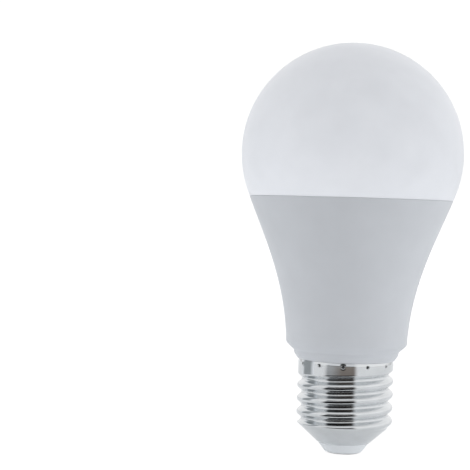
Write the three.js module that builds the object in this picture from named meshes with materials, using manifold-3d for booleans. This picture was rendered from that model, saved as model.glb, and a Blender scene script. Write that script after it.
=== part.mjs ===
// Smart LED light bulb with an E27 screw cap: a frosted globe on a flared plastic housing, with the
// white and colour LEDs, the radio board and the mains driver inside.
// Millimetres, +Z up. The lamp stands on its centre contact, so z = 0 is the contact's face.
import * as THREE from "three";
import { mergeVertices } from "three/addons/utils/BufferGeometryUtils.js";
import Module from "manifold-3d";

const wasm = await Module();
wasm.setup();

// ---- Driving dimensions ------------------------------------------------------------------------

const SEGMENTS = 32; // facets round every large turned piece

// Overall lamp
const OVERALL_LENGTH = 112;
const GLOBE_R = 30.25;
const GLOBE_Z = OVERALL_LENGTH - GLOBE_R;
const DIFFUSER_WALL = 1.2;
const SEAM_Z = 69.6; // where the globe meets the housing, flush
const SEAM_R = Math.sqrt(GLOBE_R ** 2 - (GLOBE_Z - SEAM_Z) ** 2);

// Housing: a flare from a straight lower edge up to the seam
const HOUSING_WALL = 1.2;
const HOUSING_FOOT_R = 16.57;
const HOUSING_FOOT_Z = 31.0;
const FLARE_FOOT_HANDLE = new THREE.Vector2(0.7, 16.25);
const FLARE_SEAM_HANDLE = new THREE.Vector2(-3.2, -8.6);
const LIP_R = 14.45;
const LIP_Z = 28.1; // widest point of the lip above the screw cap
const FOOT_SLOPE_Z = 30.05; // top of the slope from the lip to the housing's foot
const NECK_SHOULDER_R = 12.5; // fits inside the cap's plain skirt
const NECK_SHOULDER_Z = 23.9;
const NECK_R = 11.6; // fits inside the thread's roots
const NECK_BORE_R = 10.3;
const NECK_BOTTOM_Z = 10.4;
const NECK_TOP_Z = 27;
const RIB_AT = new THREE.Vector2(9.95, 1.5); // guide ribs for the driver board
const RIB_HALF = new THREE.Vector2(0.95, 0.5);
const WIRE_GROOVE_HALF_WIDTH = 0.55;
const WIRE_GROOVE_TOP_Z = 19;

// Seat of the diffuser in the housing
const SEAT_R = 25.65;
const SEAT_Z = 66.4;
const SKIRT_OUTER_R = 25.2;
const SKIRT_INNER_R = 24.2;
const SKIRT_BOTTOM_Z = 66.75;

// E27 cap: a rolled thread, a 45 degree taper below it and a plain skirt above it
const THREAD_PITCH = 3.629; // seven turns to the inch
const THREAD_CREST_R = 13.15;
const THREAD_ROOT_R = 12.1;
const THREAD_PHASE_Z = 20.28; // height of the topmost full crest on the +X side
const THREAD_FADE = [22.1, 23.3];
const CAP_SKIRT_R = 13.0;
const CAP_WALL = 0.3;
const CAP_RIM_Z = 25.8;
const CAP_BOTTOM_Z = 3.1;
const TAPER_OFFSET = 4.7; // taper radius is its height plus this
const INSULATOR_R = 7.2; // just under the cap
const INSULATOR_CUP_R = 11.4;
const INSULATOR_TOP_Z = 8.9;
const CONTACT_R = 4.7;
const CONTACT_HEAD = 0.55;
const SHANK_R = 1.25;
const SHANK_TOP_Z = 8;

// LED board stack, from the top down
const BOARD_TOP_Z = SEAT_Z;
const LED_BOARD_THICK = 1.5;
const LED_BOARD_R = 23.4;
const PAD_THICK = 0.2;
const PAD_R = 21;
const FACE_GAP = 0.05; // between faces that touch on the real lamp
const PLATE_TOP_Z = BOARD_TOP_Z - LED_BOARD_THICK - PAD_THICK - 2 * FACE_GAP;
const PLATE_THICK = 1.2;
const HEAT_SINK_WALL = 0.8;
const HEAT_SINK_GAP = 0.1;
const HEAT_SINK_FOOT_Z = 36;
const SLOT_HALF = new THREE.Vector2(8.2, 0.9);
const SCREW_X = 15.6;
const WIRE_HOLE_X = 10.4;
const SCREW_HOLE_R = { board: 1.5, pad: 1.7, plate: 1.35 };
const WHITE_LED_RING_R = 19.5;
const COLOUR_LED_RING_R = 12;
const WHITE_LED_SIZE = [2.8, 3.5, 0.7];
const COLOUR_LED_SIZE = [5, 5, 1.5];
const LEDS_PER_RING = 6;
const FIRST_LED_DEG = { cool: 15, warm: 45, colour: 30 };

// Boards that stand upright on the lamp's axis
const DRIVER_THICK = 1.6;
const DRIVER_HALF_WIDTH = 12.5;
const TONGUE_HALF_WIDTH = 9.9;
const DRIVER_Z = [11, 29.5, 56.5]; // bottom of the tongue, its shoulder, top of the board
const RADIO_THICK = 0.8;
const RADIO_HALF_WIDTH = 7.5;
const RADIO_Z = [58, 80.5];
const RADIO_CHIP_Z = 73;
const MEMORY_CHIP_Z = 72;

// Places of the driver's components: the middle of the foot of those that stand, and the middle
// of those that lie on the board's faces
const BULK_CAPACITOR = { radius: 4, height: 12.5, at: [3, -5.1, 13] };
const OUTPUT_CAPACITOR = { radius: 4, height: 11.5, at: [-6.6, -5.3, 40] };
const TRANSFORMER_AT = [4.6, -5.9, 45];
const INDUCTOR_AT = [-6.3, -4.4, 30.6];
const FUSE_AT = [5.2, 2.7, 13.5];
const VARISTOR_AT = [-3.4, 0.95, 21];
const FILM_CAPACITOR = { width: 9, height: 7, depth: 5, x: 5, z: 34.2 };
const RECTIFIER_AT = [0, 34];
const DRIVER_CHIP_AT = [-5.5, 44];
const DIODE_AT = [5.5, 49];

// ---- Finishes ----------------------------------------------------------------------------------

const finish = (color, roughness, metalness = 0) => ({ color, roughness, metalness });

const FINISH = {
  opal: finish(0xe6e9ee, 0.45),
  whiteBody: finish(0xdcdee2, 0.55),
  whitePlastic: finish(0xe2e6ea, 0.4),
  nickel: finish(0xc9cbcd, 0.16, 1),
  brightContact: finish(0xb9bcc0, 0.25, 1),
  aluminium: finish(0xb4b7bb, 0.4, 1),
  silicone: finish(0xd8dadd, 0.6),
  whiteBoard: finish(0xf0f1ef, 0.35),
  greenBoard: finish(0x1f6b3c, 0.4),
  blackBoard: finish(0x15181c, 0.4),
  coolPhosphor: finish(0xe9dc6a, 0.5),
  warmPhosphor: finish(0xe79a3c, 0.5),
  clearPackage: finish(0xd5dcdd, 0.2),
  chip: finish(0x1b1b1d, 0.5),
  steel: finish(0x9a9da1, 0.3, 1),
  copper: finish(0xb87043, 0.3, 1),
  gold: finish(0xc9a24b, 0.3, 1),
  ferrite: finish(0x3a3b3e, 0.7),
  yellowTape: finish(0xd9c23a, 0.4),
  capacitorSleeve: finish(0x1c2430, 0.35),
  filmCase: finish(0xa12f23, 0.35),
  discBlue: finish(0x27509a, 0.4),
  resistorGreen: finish(0x7f9c74, 0.6),
  redWire: finish(0xb3241f, 0.45),
  blackWire: finish(0x1a1a1b, 0.45),
};

// ---- Geometry helpers --------------------------------------------------------------------------

const bulb = new THREE.Group();
bulb.name = "smart_light_bulb";

function addPart(name, geometry, surface) {
  const mesh = new THREE.Mesh(geometry, new THREE.MeshStandardMaterial(surface));
  mesh.name = name;
  bulb.add(mesh);
}

// A closed mesh as a solid for joining and cutting.
function solid(geometry) {
  const bare = geometry.clone();
  bare.deleteAttribute("normal");
  bare.deleteAttribute("uv");
  const merged = mergeVertices(bare, 1e-4);
  const vertProperties = new Float32Array(merged.attributes.position.array);
  const triVerts = new Uint32Array(merged.index.array);
  return new wasm.Manifold(new wasm.Mesh({ numProp: 3, vertProperties, triVerts }));
}

// A solid back as a mesh geometry.
function geometryOf(body) {
  const mesh = body.getMesh();
  const geometry = new THREE.BufferGeometry();
  geometry.setAttribute("position", new THREE.BufferAttribute(mesh.vertProperties, 3));
  geometry.setIndex(new THREE.BufferAttribute(mesh.triVerts, 1));
  geometry.computeVertexNormals();
  return geometry;
}

const join = (first, ...others) =>
  geometryOf(others.reduce((sum, g) => sum.add(solid(g)), solid(first)));

const cut = (first, ...others) =>
  geometryOf(others.reduce((rest, g) => rest.subtract(solid(g)), solid(first)));

// Turns a profile of [radius, height] points about Z. The points run anticlockwise: out along the
// bottom, up the outside and back in along the top.
function turned(profile, segments = SEGMENTS) {
  const points = profile.map(([r, z]) => new THREE.Vector2(r, z));
  return new THREE.LatheGeometry(points, segments).rotateX(Math.PI / 2);
}

// A ring whose profile closes on itself.
const turnedRing = (profile, segments) => turned([...profile, profile[0]], segments);

// A box given by its low and high corners.
function box(low, high) {
  const size = high.map((h, i) => h - low[i]);
  const middle = high.map((h, i) => (h + low[i]) / 2);
  return new THREE.BoxGeometry(...size).translate(...middle);
}

// An upright rod on (x, y) between two heights.
function rod(x, y, radius, z0, z1, segments = 12) {
  const cylinder = new THREE.CylinderGeometry(radius, radius, z1 - z0, segments);
  return cylinder.rotateX(Math.PI / 2).translate(x, y, (z0 + z1) / 2);
}

// A rectangle with rounded corners, centred on the origin.
function roundedRectangle(width, height, radius) {
  const [x, y] = [width / 2, height / 2];
  const shape = new THREE.Shape();
  shape.absarc(x - radius, y - radius, radius, 0, Math.PI / 2);
  shape.absarc(radius - x, y - radius, radius, Math.PI / 2, Math.PI);
  shape.absarc(radius - x, radius - y, radius, Math.PI, 1.5 * Math.PI);
  shape.absarc(x - radius, radius - y, radius, 1.5 * Math.PI, 2 * Math.PI);
  return shape;
}

// A flat outline raised along +Z from z0 by its thickness.
function plate(shape, thickness, z0, curveSegments = 3) {
  const options = { depth: thickness, bevelEnabled: false, curveSegments };
  return new THREE.ExtrudeGeometry(shape, options).translate(0, 0, z0);
}

// A flat outline in X and Z, raised along +Y from y0 by its thickness.
function upright(shape, thickness, y0, curveSegments = 3) {
  const flat = plate(shape, thickness, 0, curveSegments);
  return flat.rotateX(Math.PI / 2).translate(0, y0 + thickness, 0);
}

// A round wire through a list of points.
function wire(points, radius, steps) {
  const section = new THREE.Shape().absarc(0, 0, radius, 0, 2 * Math.PI);
  const extrudePath = new THREE.CatmullRomCurve3(points.map((p) => new THREE.Vector3(...p)));
  const options = { steps, bevelEnabled: false, extrudePath, curveSegments: 4 };
  return new THREE.ExtrudeGeometry(section, options);
}

// Points on a circular arc in the profile plane, angles in degrees from the radius direction.
function arc(centreR, centreZ, radius, fromDeg, toDeg, steps) {
  return Array.from({ length: steps + 1 }, (_, i) => {
    const angle = THREE.MathUtils.degToRad(fromDeg + ((toDeg - fromDeg) * i) / steps);
    return [centreR + radius * Math.cos(angle), centreZ + radius * Math.sin(angle)];
  });
}

// ---- Housing flare -----------------------------------------------------------------------------

const flareFoot = new THREE.Vector2(HOUSING_FOOT_R, HOUSING_FOOT_Z);
const flareSeam = new THREE.Vector2(SEAM_R + 0.02, SEAM_Z);
const flare = new THREE.CubicBezierCurve(
  flareFoot,
  flareFoot.clone().add(FLARE_FOOT_HANDLE),
  flareSeam.clone().add(FLARE_SEAM_HANDLE),
  flareSeam,
);

// The flare moved in by a distance square to itself, from foot to seam.
function flareInset(distance, steps) {
  return Array.from({ length: steps + 1 }, (_, i) => {
    const point = flare.getPoint(i / steps);
    const along = flare.getTangent(i / steps);
    return [point.x - distance * along.y, point.y + distance * along.x];
  });
}

// The radius of the inset flare at a height.
function insetRadius(distance, z) {
  const points = flareInset(distance, 60);
  const upper = points.findIndex((p) => p[1] >= z);
  const [low, high] = [points[upper - 1], points[upper]];
  return THREE.MathUtils.mapLinear(z, low[1], high[1], low[0], high[0]);
}

// ---- Globe, seal and housing -------------------------------------------------------------------

// Frosted globe: a spherical dome with a short skirt that plugs into the housing's seat.
function makeDiffuser() {
  const innerR = GLOBE_R - DIFFUSER_WALL;
  const shoulderTop = SEAM_Z + FACE_GAP + 1.35;
  const rimDeg = THREE.MathUtils.radToDeg(Math.asin((SEAM_Z + FACE_GAP - GLOBE_Z) / GLOBE_R));
  const innerDeg = THREE.MathUtils.radToDeg(Math.asin((shoulderTop - GLOBE_Z) / innerR));
  const profile = [
    ...arc(0, GLOBE_Z, innerR, 90, innerDeg, 9),
    [SKIRT_INNER_R, shoulderTop],
    [SKIRT_INNER_R, SKIRT_BOTTOM_Z],
    [SKIRT_OUTER_R - 0.2, SKIRT_BOTTOM_Z],
    [SKIRT_OUTER_R, SKIRT_BOTTOM_Z + 0.2],
    [SKIRT_OUTER_R, SEAM_Z + FACE_GAP],
    ...arc(0, GLOBE_Z, GLOBE_R, rimDeg, 0, 2),
    ...arc(0, GLOBE_Z, GLOBE_R, 0, 90, 8).slice(1),
  ];
  profile[0][0] = 0;
  profile.at(-1)[0] = 0;
  return turned(profile);
}

// Bead of silicone that fills the groove between the skirt and the seat.
const makeSeal = () =>
  turnedRing([
    [SKIRT_OUTER_R + FACE_GAP, SEAT_Z + 0.3],
    [SEAT_R - FACE_GAP, SEAT_Z + 0.3],
    [SEAT_R - FACE_GAP, SEAM_Z - 0.3],
    [SKIRT_OUTER_R + FACE_GAP, SEAM_Z - 0.3],
  ]);

// Plastic body: flare, lower lip and the neck that the screw cap is staked on. Two pairs of ribs
// in the neck guide the driver board, and a groove outside it holds the neutral wire.
function makeHousing() {
  const shell = turnedRing([
    [NECK_BORE_R, NECK_BOTTOM_Z],
    [NECK_R, NECK_BOTTOM_Z],
    [NECK_R, NECK_SHOULDER_Z - 0.3],
    [NECK_SHOULDER_R, NECK_SHOULDER_Z],
    [NECK_SHOULDER_R, CAP_RIM_Z + 0.1],
    [CAP_SKIRT_R + 0.3, CAP_RIM_Z + 0.15],
    [LIP_R - 0.6, CAP_RIM_Z + 0.75],
    [LIP_R - 0.2, LIP_Z - 0.95],
    [LIP_R, LIP_Z],
    [HOUSING_FOOT_R - 0.5, FOOT_SLOPE_Z],
    [HOUSING_FOOT_R - 0.1, HOUSING_FOOT_Z - 0.5],
    ...flareInset(0, 10),
    [SEAT_R, SEAM_Z],
    [SEAT_R, SEAT_Z],
    ...flareInset(HOUSING_WALL, 10).filter(([, z]) => z < SEAT_Z - 0.5).reverse(),
    [NECK_BORE_R + 2.8, NECK_TOP_Z + 1.7],
    [NECK_BORE_R, NECK_TOP_Z],
  ]);
  const ribs = [-1, 1].flatMap((sx) =>
    [-1, 1].map((sy) => {
      const [x, y] = [sx * RIB_AT.x, sy * RIB_AT.y];
      const low = [x - RIB_HALF.x, y - RIB_HALF.y, DRIVER_Z[0]];
      return box(low, [x + RIB_HALF.x, y + RIB_HALF.y, NECK_TOP_Z]);
    }),
  );
  const start = [-NECK_R - 0.3, -WIRE_GROOVE_HALF_WIDTH, NECK_BOTTOM_Z - 1];
  const groove = box(start, [0.8 - NECK_R, WIRE_GROOVE_HALF_WIDTH, WIRE_GROOVE_TOP_Z]);
  const notch = box(start, [0.4 - NECK_BORE_R, WIRE_GROOVE_HALF_WIDTH, NECK_BOTTOM_Z + 1.2]);
  return cut(join(shell, ...ribs), groove, notch);
}

// ---- Screw cap ---------------------------------------------------------------------------------

// Radius of the cap's outside at an angle round it and a height: the rolled thread dies out into
// the skirt above and is cut off by the taper below.
function capRadius(angle, z) {
  const turns = (z - THREAD_PHASE_Z) / THREAD_PITCH - angle / (2 * Math.PI);
  const wave = 0.5 + 0.5 * Math.cos(2 * Math.PI * turns);
  const thread = THREAD_ROOT_R + (THREAD_CREST_R - THREAD_ROOT_R) * wave;
  const fade = THREE.MathUtils.smoothstep(z, ...THREAD_FADE);
  return Math.min(THREE.MathUtils.lerp(thread, CAP_SKIRT_R, fade), z + TAPER_OFFSET);
}

// Rolled metal shell: at each angle its section is a loop up the outside and down the inside.
function makeScrewShell() {
  const rowStep = THREAD_PITCH / 5;
  const taperTop = THREAD_ROOT_R - TAPER_OFFSET;
  const threadRows = Math.ceil((THREAD_FADE[1] - taperTop) / rowStep);
  const heights = [
    CAP_BOTTOM_Z,
    (CAP_BOTTOM_Z + taperTop) / 2,
    ...Array.from({ length: threadRows + 1 }, (_, i) => taperTop + i * rowStep),
    CAP_RIM_Z,
  ];
  const outside = (angle) => heights.map((z) => [capRadius(angle, z), z]);
  const inside = (angle) =>
    heights.map((z) => {
      const slope = (capRadius(angle, z + 0.05) - capRadius(angle, z - 0.05)) / 0.1;
      return [capRadius(angle, z) - CAP_WALL * Math.hypot(1, slope), z];
    });
  const loopLength = 2 * heights.length;
  const positions = [];
  for (let j = 0; j < SEGMENTS; j++) {
    const angle = (2 * Math.PI * j) / SEGMENTS;
    for (const [r, z] of [...outside(angle), ...inside(angle).reverse()]) {
      positions.push(r * Math.cos(angle), r * Math.sin(angle), z);
    }
  }
  const index = [];
  for (let j = 0; j < SEGMENTS; j++) {
    for (let i = 0; i < loopLength; i++) {
      const [here, next] = [j * loopLength, ((j + 1) % SEGMENTS) * loopLength];
      const up = (i + 1) % loopLength;
      index.push(here + i, next + i, next + up, here + i, next + up, here + up);
    }
  }
  const geometry = new THREE.BufferGeometry();
  geometry.setAttribute("position", new THREE.Float32BufferAttribute(positions, 3));
  geometry.setIndex(index);
  geometry.computeVertexNormals();
  return geometry;
}

// White plastic insulator: a cone below the cap and a cup that lines the taper inside it.
const makeInsulator = () =>
  turnedRing([
    [SHANK_R + 0.15, CONTACT_HEAD + 0.1],
    [CONTACT_R + 0.1, CONTACT_HEAD + 0.1],
    [CONTACT_R + 0.1, 0.3],
    [CONTACT_R + 0.25, 0.3],
    [INSULATOR_R, CAP_BOTTOM_Z - 0.25],
    [INSULATOR_R, CAP_BOTTOM_Z],
    [INSULATOR_CUP_R, CAP_BOTTOM_Z + INSULATOR_CUP_R - INSULATOR_R + 0.05],
    [INSULATOR_CUP_R, INSULATOR_TOP_Z],
    [INSULATOR_CUP_R - 1.2, INSULATOR_TOP_Z],
    [INSULATOR_CUP_R - 1.2, INSULATOR_TOP_Z - 1.1],
    [INSULATOR_R - 0.6, CAP_BOTTOM_Z + 1.1],
    [SHANK_R + 0.15, CAP_BOTTOM_Z + 1.1],
  ]);

// Centre contact: a flat round head with a rolled edge, on a shank through the insulator.
const makeContact = () =>
  turned(
    [
      [0, 0],
      [CONTACT_R - 0.35, 0],
      [CONTACT_R - 0.1, 0.12],
      [CONTACT_R, 0.35],
      [CONTACT_R, CONTACT_HEAD],
      [SHANK_R, CONTACT_HEAD],
      [SHANK_R, SHANK_TOP_Z - 0.2],
      [SHANK_R - 0.2, SHANK_TOP_Z],
      [0, SHANK_TOP_Z],
    ],
    24,
  );

// ---- LED board stack ---------------------------------------------------------------------------

const SCREW_HOLES = [-SCREW_X, SCREW_X];
const WIRE_HOLES = [-WIRE_HOLE_X, WIRE_HOLE_X];

// The radio board's slot, the wire holes and the screw holes, as solids to cut with.
function stackOpenings(z0, z1, screwHoleR) {
  return [
    box([-SLOT_HALF.x, -SLOT_HALF.y, z0], [SLOT_HALF.x, SLOT_HALF.y, z1]),
    ...WIRE_HOLES.map((x) => rod(x, 0, 0.9, z0, z1)),
    ...SCREW_HOLES.map((x) => rod(x, 0, screwHoleR, z0, z1)),
  ];
}

// Round plate of the stack with the same openings through it.
function stackDisc(radius, z0, z1, screwHoleR) {
  const disc = turned([[0, z0], [radius, z0], [radius, z1], [0, z1]]);
  return cut(disc, ...stackOpenings(z0 - 1, z1 + 1, screwHoleR));
}

// Pressed aluminium cup: a plate under the LED board and a skirt that lines the housing.
function makeHeatSink() {
  const outset = HOUSING_WALL + HEAT_SINK_GAP;
  const inset = outset + HEAT_SINK_WALL;
  const plateBottom = PLATE_TOP_Z - PLATE_THICK;
  const between = (low, high) => ([, z]) => z > low + 0.5 && z < high - 0.5;
  const cup = turned([
    [0, plateBottom],
    [insetRadius(inset, plateBottom), plateBottom],
    ...flareInset(inset, 10).filter(between(HEAT_SINK_FOOT_Z, plateBottom)).reverse(),
    [insetRadius(inset, HEAT_SINK_FOOT_Z), HEAT_SINK_FOOT_Z],
    [insetRadius(outset, HEAT_SINK_FOOT_Z), HEAT_SINK_FOOT_Z],
    ...flareInset(outset, 10).filter(between(HEAT_SINK_FOOT_Z, PLATE_TOP_Z)),
    [insetRadius(outset, PLATE_TOP_Z), PLATE_TOP_Z],
    [0, PLATE_TOP_Z],
  ]);
  return cut(cup, ...stackOpenings(plateBottom - 1, PLATE_TOP_Z + 1, SCREW_HOLE_R.plate));
}

// Surface-mounted LED package with one corner clipped to mark its polarity.
function ledPackage(width, length, height) {
  const [x, y, clip] = [width / 2, length / 2, width / 5];
  const outline = new THREE.Shape([
    new THREE.Vector2(-x, -y),
    new THREE.Vector2(x, -y),
    new THREE.Vector2(x, y - clip),
    new THREE.Vector2(x - clip, y),
    new THREE.Vector2(-x, y),
  ]);
  return plate(outline, height, BOARD_TOP_Z + FACE_GAP);
}

// A ring of LED packages at even angles, each turned to face out from the centre.
function addLedRing(name, size, ringR, startDeg, surface) {
  for (let k = 0; k < LEDS_PER_RING; k++) {
    const angle = THREE.MathUtils.degToRad(startDeg + (360 / LEDS_PER_RING) * k);
    const geometry = ledPackage(...size).translate(ringR, 0, 0).rotateZ(angle);
    addPart(`${name}_${k + 1}`, geometry, surface);
  }
}

// Pan-head screw with a cross recess, through the LED board into the heat sink.
function makeScrew(x) {
  const seat = BOARD_TOP_Z + FACE_GAP;
  const blank = turned(
    [
      [0, PLATE_TOP_Z - 2.4],
      [0.8, PLATE_TOP_Z - 2.4],
      [1.25, PLATE_TOP_Z - 1.8],
      [1.25, seat],
      [2.1, seat],
      [2.1, seat + 0.5],
      [1.6, seat + 1.2],
      [0, seat + 1.35],
    ],
    16,
  );
  const slots = [
    box([-1.1, -0.22, seat + 0.6], [1.1, 0.22, seat + 2]),
    box([-0.22, -1.1, seat + 0.6], [0.22, 1.1, seat + 2]),
  ];
  return cut(blank, ...slots).translate(x, 0, 0);
}

// ---- Chips and boards --------------------------------------------------------------------------

// Moulded chip lying on the face at z = 0, with two rows of flat leads along its length.
function leadedChip(width, length, height, leadsPerSide) {
  const body = box([-width / 2, -length / 2, 0.1], [width / 2, length / 2, height]);
  const pitch = length / leadsPerSide;
  const leads = [-1, 1].flatMap((side) =>
    Array.from({ length: leadsPerSide }, (_, i) => {
      const y = (i + 0.5) * pitch - length / 2;
      const [near, far] = [(side * (width - 0.4)) / 2, (side * (width + 1.8)) / 2];
      return box([Math.min(near, far), y - pitch / 5, 0], [Math.max(near, far), y + pitch / 5, 0.35]);
    }),
  );
  return join(body, ...leads);
}

// Eight-lead chip.
const smallChip = () => leadedChip(3.9, 4.9, 1.5, 4);

// Places a part modelled on the face z = 0 onto an upright board's front or back face.
function mountUpright(geometry, x, z, faceY, front) {
  const turn = front ? Math.PI / 2 : -Math.PI / 2;
  return geometry.rotateX(turn).translate(x, front ? -faceY : faceY, z);
}

// Driver board: a wide upper part and a narrow tongue that slides down into the neck.
function makeDriverBoard() {
  const [bottom, shoulder, top] = DRIVER_Z;
  const half = [
    [TONGUE_HALF_WIDTH - 0.6, bottom],
    [TONGUE_HALF_WIDTH, bottom + 0.6],
    [TONGUE_HALF_WIDTH, shoulder],
    [DRIVER_HALF_WIDTH, shoulder],
    [DRIVER_HALF_WIDTH, top],
  ];
  const left = half.map(([x, z]) => [-x, z]).reverse();
  const outline = new THREE.Shape([...half, ...left].map(([x, z]) => new THREE.Vector2(x, z)));
  return upright(outline, DRIVER_THICK, -DRIVER_THICK / 2);
}

// Radio board: passes through the slot in the LED board so that its antenna stands in the globe.
function makeRadioBoard() {
  const [bottom, top] = RADIO_Z;
  return box([-RADIO_HALF_WIDTH, -RADIO_THICK / 2, bottom], [RADIO_HALF_WIDTH, RADIO_THICK / 2, top]);
}

// Zigzag antenna track at the top of the radio board.
function makeAntenna() {
  const [trackWidth, foldHeight, foldPitch, folds] = [0.6, 1.9, 1.6, 7];
  const startX = -((folds - 1) * foldPitch) / 2;
  const faceY = -RADIO_THICK / 2 - FACE_GAP;
  const topZ = RADIO_Z[1] - 0.4;
  const bar = (x0, x1, z0, z1) => box([x0, faceY - 0.15, z0], [x1, faceY, z1]);
  const strokes = Array.from({ length: folds }, (_, i) => {
    const x = startX + i * foldPitch;
    return bar(x - trackWidth / 2, x + trackWidth / 2, topZ - foldHeight, topZ);
  });
  const links = Array.from({ length: folds - 1 }, (_, i) => {
    const x = startX + i * foldPitch;
    const z = i % 2 ? topZ - foldHeight : topZ - trackWidth;
    return bar(x - trackWidth / 2, x + foldPitch + trackWidth / 2, z, z + trackWidth);
  });
  return join(...strokes, ...links);
}

// Pressed metal can over the radio chip, open towards the board.
function makeShield() {
  const outer = plate(roundedRectangle(11, 8.6, 0.5), 1.9, 0);
  const inner = plate(roundedRectangle(10.6, 8.2, 0.3), 2, -0.3);
  return cut(outer, inner);
}

// Six-pin header that joins the top of the driver board to the foot of the radio board.
function makeHeader() {
  const gap = 2 * FACE_GAP;
  const bar = box([-6.4, -1.4, DRIVER_Z[2] + gap], [6.4, 0.9, RADIO_Z[0] - gap]);
  const middle = (DRIVER_Z[2] + RADIO_Z[0]) / 2;
  const pins = Array.from({ length: 6 }, (_, i) => {
    const x = -5 + 2 * i;
    return [
      box([x - 0.3, -1.35, DRIVER_Z[2] - 3], [x + 0.3, -DRIVER_THICK / 2 - gap, middle]),
      box([x - 0.3, -1, middle], [x + 0.3, -RADIO_THICK / 2 - gap, RADIO_Z[0] + 3]),
    ];
  });
  return join(bar, ...pins.flat());
}

// ---- Driver components -------------------------------------------------------------------------

// Electrolytic capacitor: a sleeved can with a crimp groove near its rubber end.
function capacitorCan({ radius, height, at }) {
  const can = turned(
    [
      [0, 0],
      [radius - 0.5, 0],
      [radius, 0.3],
      [radius, 1.4],
      [radius - 0.45, 1.9],
      [radius, 2.4],
      [radius, height - 0.3],
      [radius - 0.4, height],
      [0, height],
    ],
    20,
  );
  return can.translate(...at);
}

// Transformer, laid out about its own centre: E cores, bobbin and taped winding.
const CORE = { width: 10.4, height: 10.4, depth: 4.8, legs: 1.6, window: 2.3, windowHeight: 6.8 };

function makeTransformerCore() {
  const block = upright(roundedRectangle(CORE.width, CORE.height, 0.3), CORE.depth, -CORE.depth / 2, 2);
  const windows = [-1, 1].map((side) => {
    const x = side * (CORE.width / 2 - CORE.legs - CORE.window / 2);
    const half = [CORE.window / 2, CORE.depth, CORE.windowHeight / 2];
    return box([x - half[0], -half[1], -half[2]], [x + half[0], half[1], half[2]]);
  });
  return cut(block, ...windows);
}

// A rounded square tube about the centre leg.
function legTube(halfX, halfY, holeX, holeY, z0, z1) {
  const outline = roundedRectangle(2 * halfX, 2 * halfY, 0.4);
  outline.holes.push(roundedRectangle(2 * holeX, 2 * holeY, 0.2));
  return plate(outline, z1 - z0, z0, 2);
}

const makeBobbin = () =>
  join(
    legTube(1.95, 3.1, 1.5, 2.65, -3.3, 3.3),
    legTube(3.45, 4.4, 1.5, 2.65, -3.3, -2.7),
    legTube(3.45, 4.4, 1.5, 2.65, 2.7, 3.3),
  );

const makeWinding = () => legTube(3.3, 4.2, 2.0, 3.15, -2.65, 2.65);

// Drum inductor: a ferrite bobbin filled with wire.
const makeInductor = () =>
  turned(
    [[0, 0], [3.2, 0], [3.2, 1], [2.7, 1], [2.7, 7], [3.2, 7], [3.2, 8], [0, 8]],
    20,
  );

// Film capacitor: a moulded block that lies on the front of the driver board.
function makeFilmCapacitor() {
  const { width, height, depth, x, z } = FILM_CAPACITOR;
  const block = plate(roundedRectangle(width, height, 0.5), depth, 0);
  return mountUpright(block, x, z, DRIVER_THICK / 2 + FACE_GAP, true);
}

// Fusible resistor: a coated body with swollen ends and straight leads.
const makeFuseResistor = () =>
  turned(
    [
      [0, 0], [0.35, 0], [0.35, 1.4], [1.3, 1.5], [1.6, 2], [1.6, 3], [1.35, 3.5],
      [1.35, 6.5], [1.6, 7], [1.6, 8], [1.3, 8.5], [0.35, 8.6], [0.35, 10], [0, 10],
    ],
    14,
  );

// Disc varistor standing on two leads.
function makeVaristor() {
  const disc = turned([[0, 0], [3, 0], [3.6, 0.6], [3.6, 2.3], [3, 2.9], [0, 2.9]], 20);
  const leads = [-1.8, 1.8].map((x) => rod(x, 1.45, 0.3, -6, -2, 8));
  return join(disc.rotateX(Math.PI / 2).translate(0, 2.9, 0), ...leads);
}

// ---- Wires -------------------------------------------------------------------------------------

// From the centre contact's shank up to the back of the driver board.
const makeLiveWire = () =>
  wire([[0, 0, 8.3], [0.1, 0.3, 9.2], [1.2, 1.5, 10.6], [1.8, 1.65, 12], [1.8, 1.6, 15]], 0.5, 9);

// From the driver board out under the neck and up its groove, against the inside of the cap.
const makeNeutralWire = () =>
  wire(
    [
      [-5, 1.5, 14.5], [-5, 1.5, 12], [-5.4, 1.4, 10.4], [-7.2, 0.9, 9.65], [-9.7, 0.1, 9.6],
      [-10.9, 0, 10.1], [-11.2, 0, 11.4], [-11.2, 0, 14], [-11.2, 0, 18.5],
    ],
    0.33,
    18,
  );

// From the front of the driver board up through the stack and over onto the LED board.
function makeLedWire(side) {
  const path = [
    [-1.55, 51.5], [-1.55, 56.8], [-0.75, 59], [0, 61.2], [0, 63.5], [0, 66.6],
    [-0.25, 67.5], [-0.95, 67.95], [-1.65, 67.5], [-1.85, 66.65],
  ];
  return wire(path.map(([y, z]) => [side * WIRE_HOLE_X, y, z]), 0.5, 18);
}

// ---- Assembly ----------------------------------------------------------------------------------

addPart("diffuser", makeDiffuser(), FINISH.opal);
addPart("silicone_seal", makeSeal(), FINISH.silicone);
addPart("housing", makeHousing(), FINISH.whiteBody);
addPart("screw_shell", makeScrewShell(), FINISH.nickel);
addPart("insulator", makeInsulator(), FINISH.whitePlastic);
addPart("centre_contact", makeContact(), FINISH.brightContact);

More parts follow.
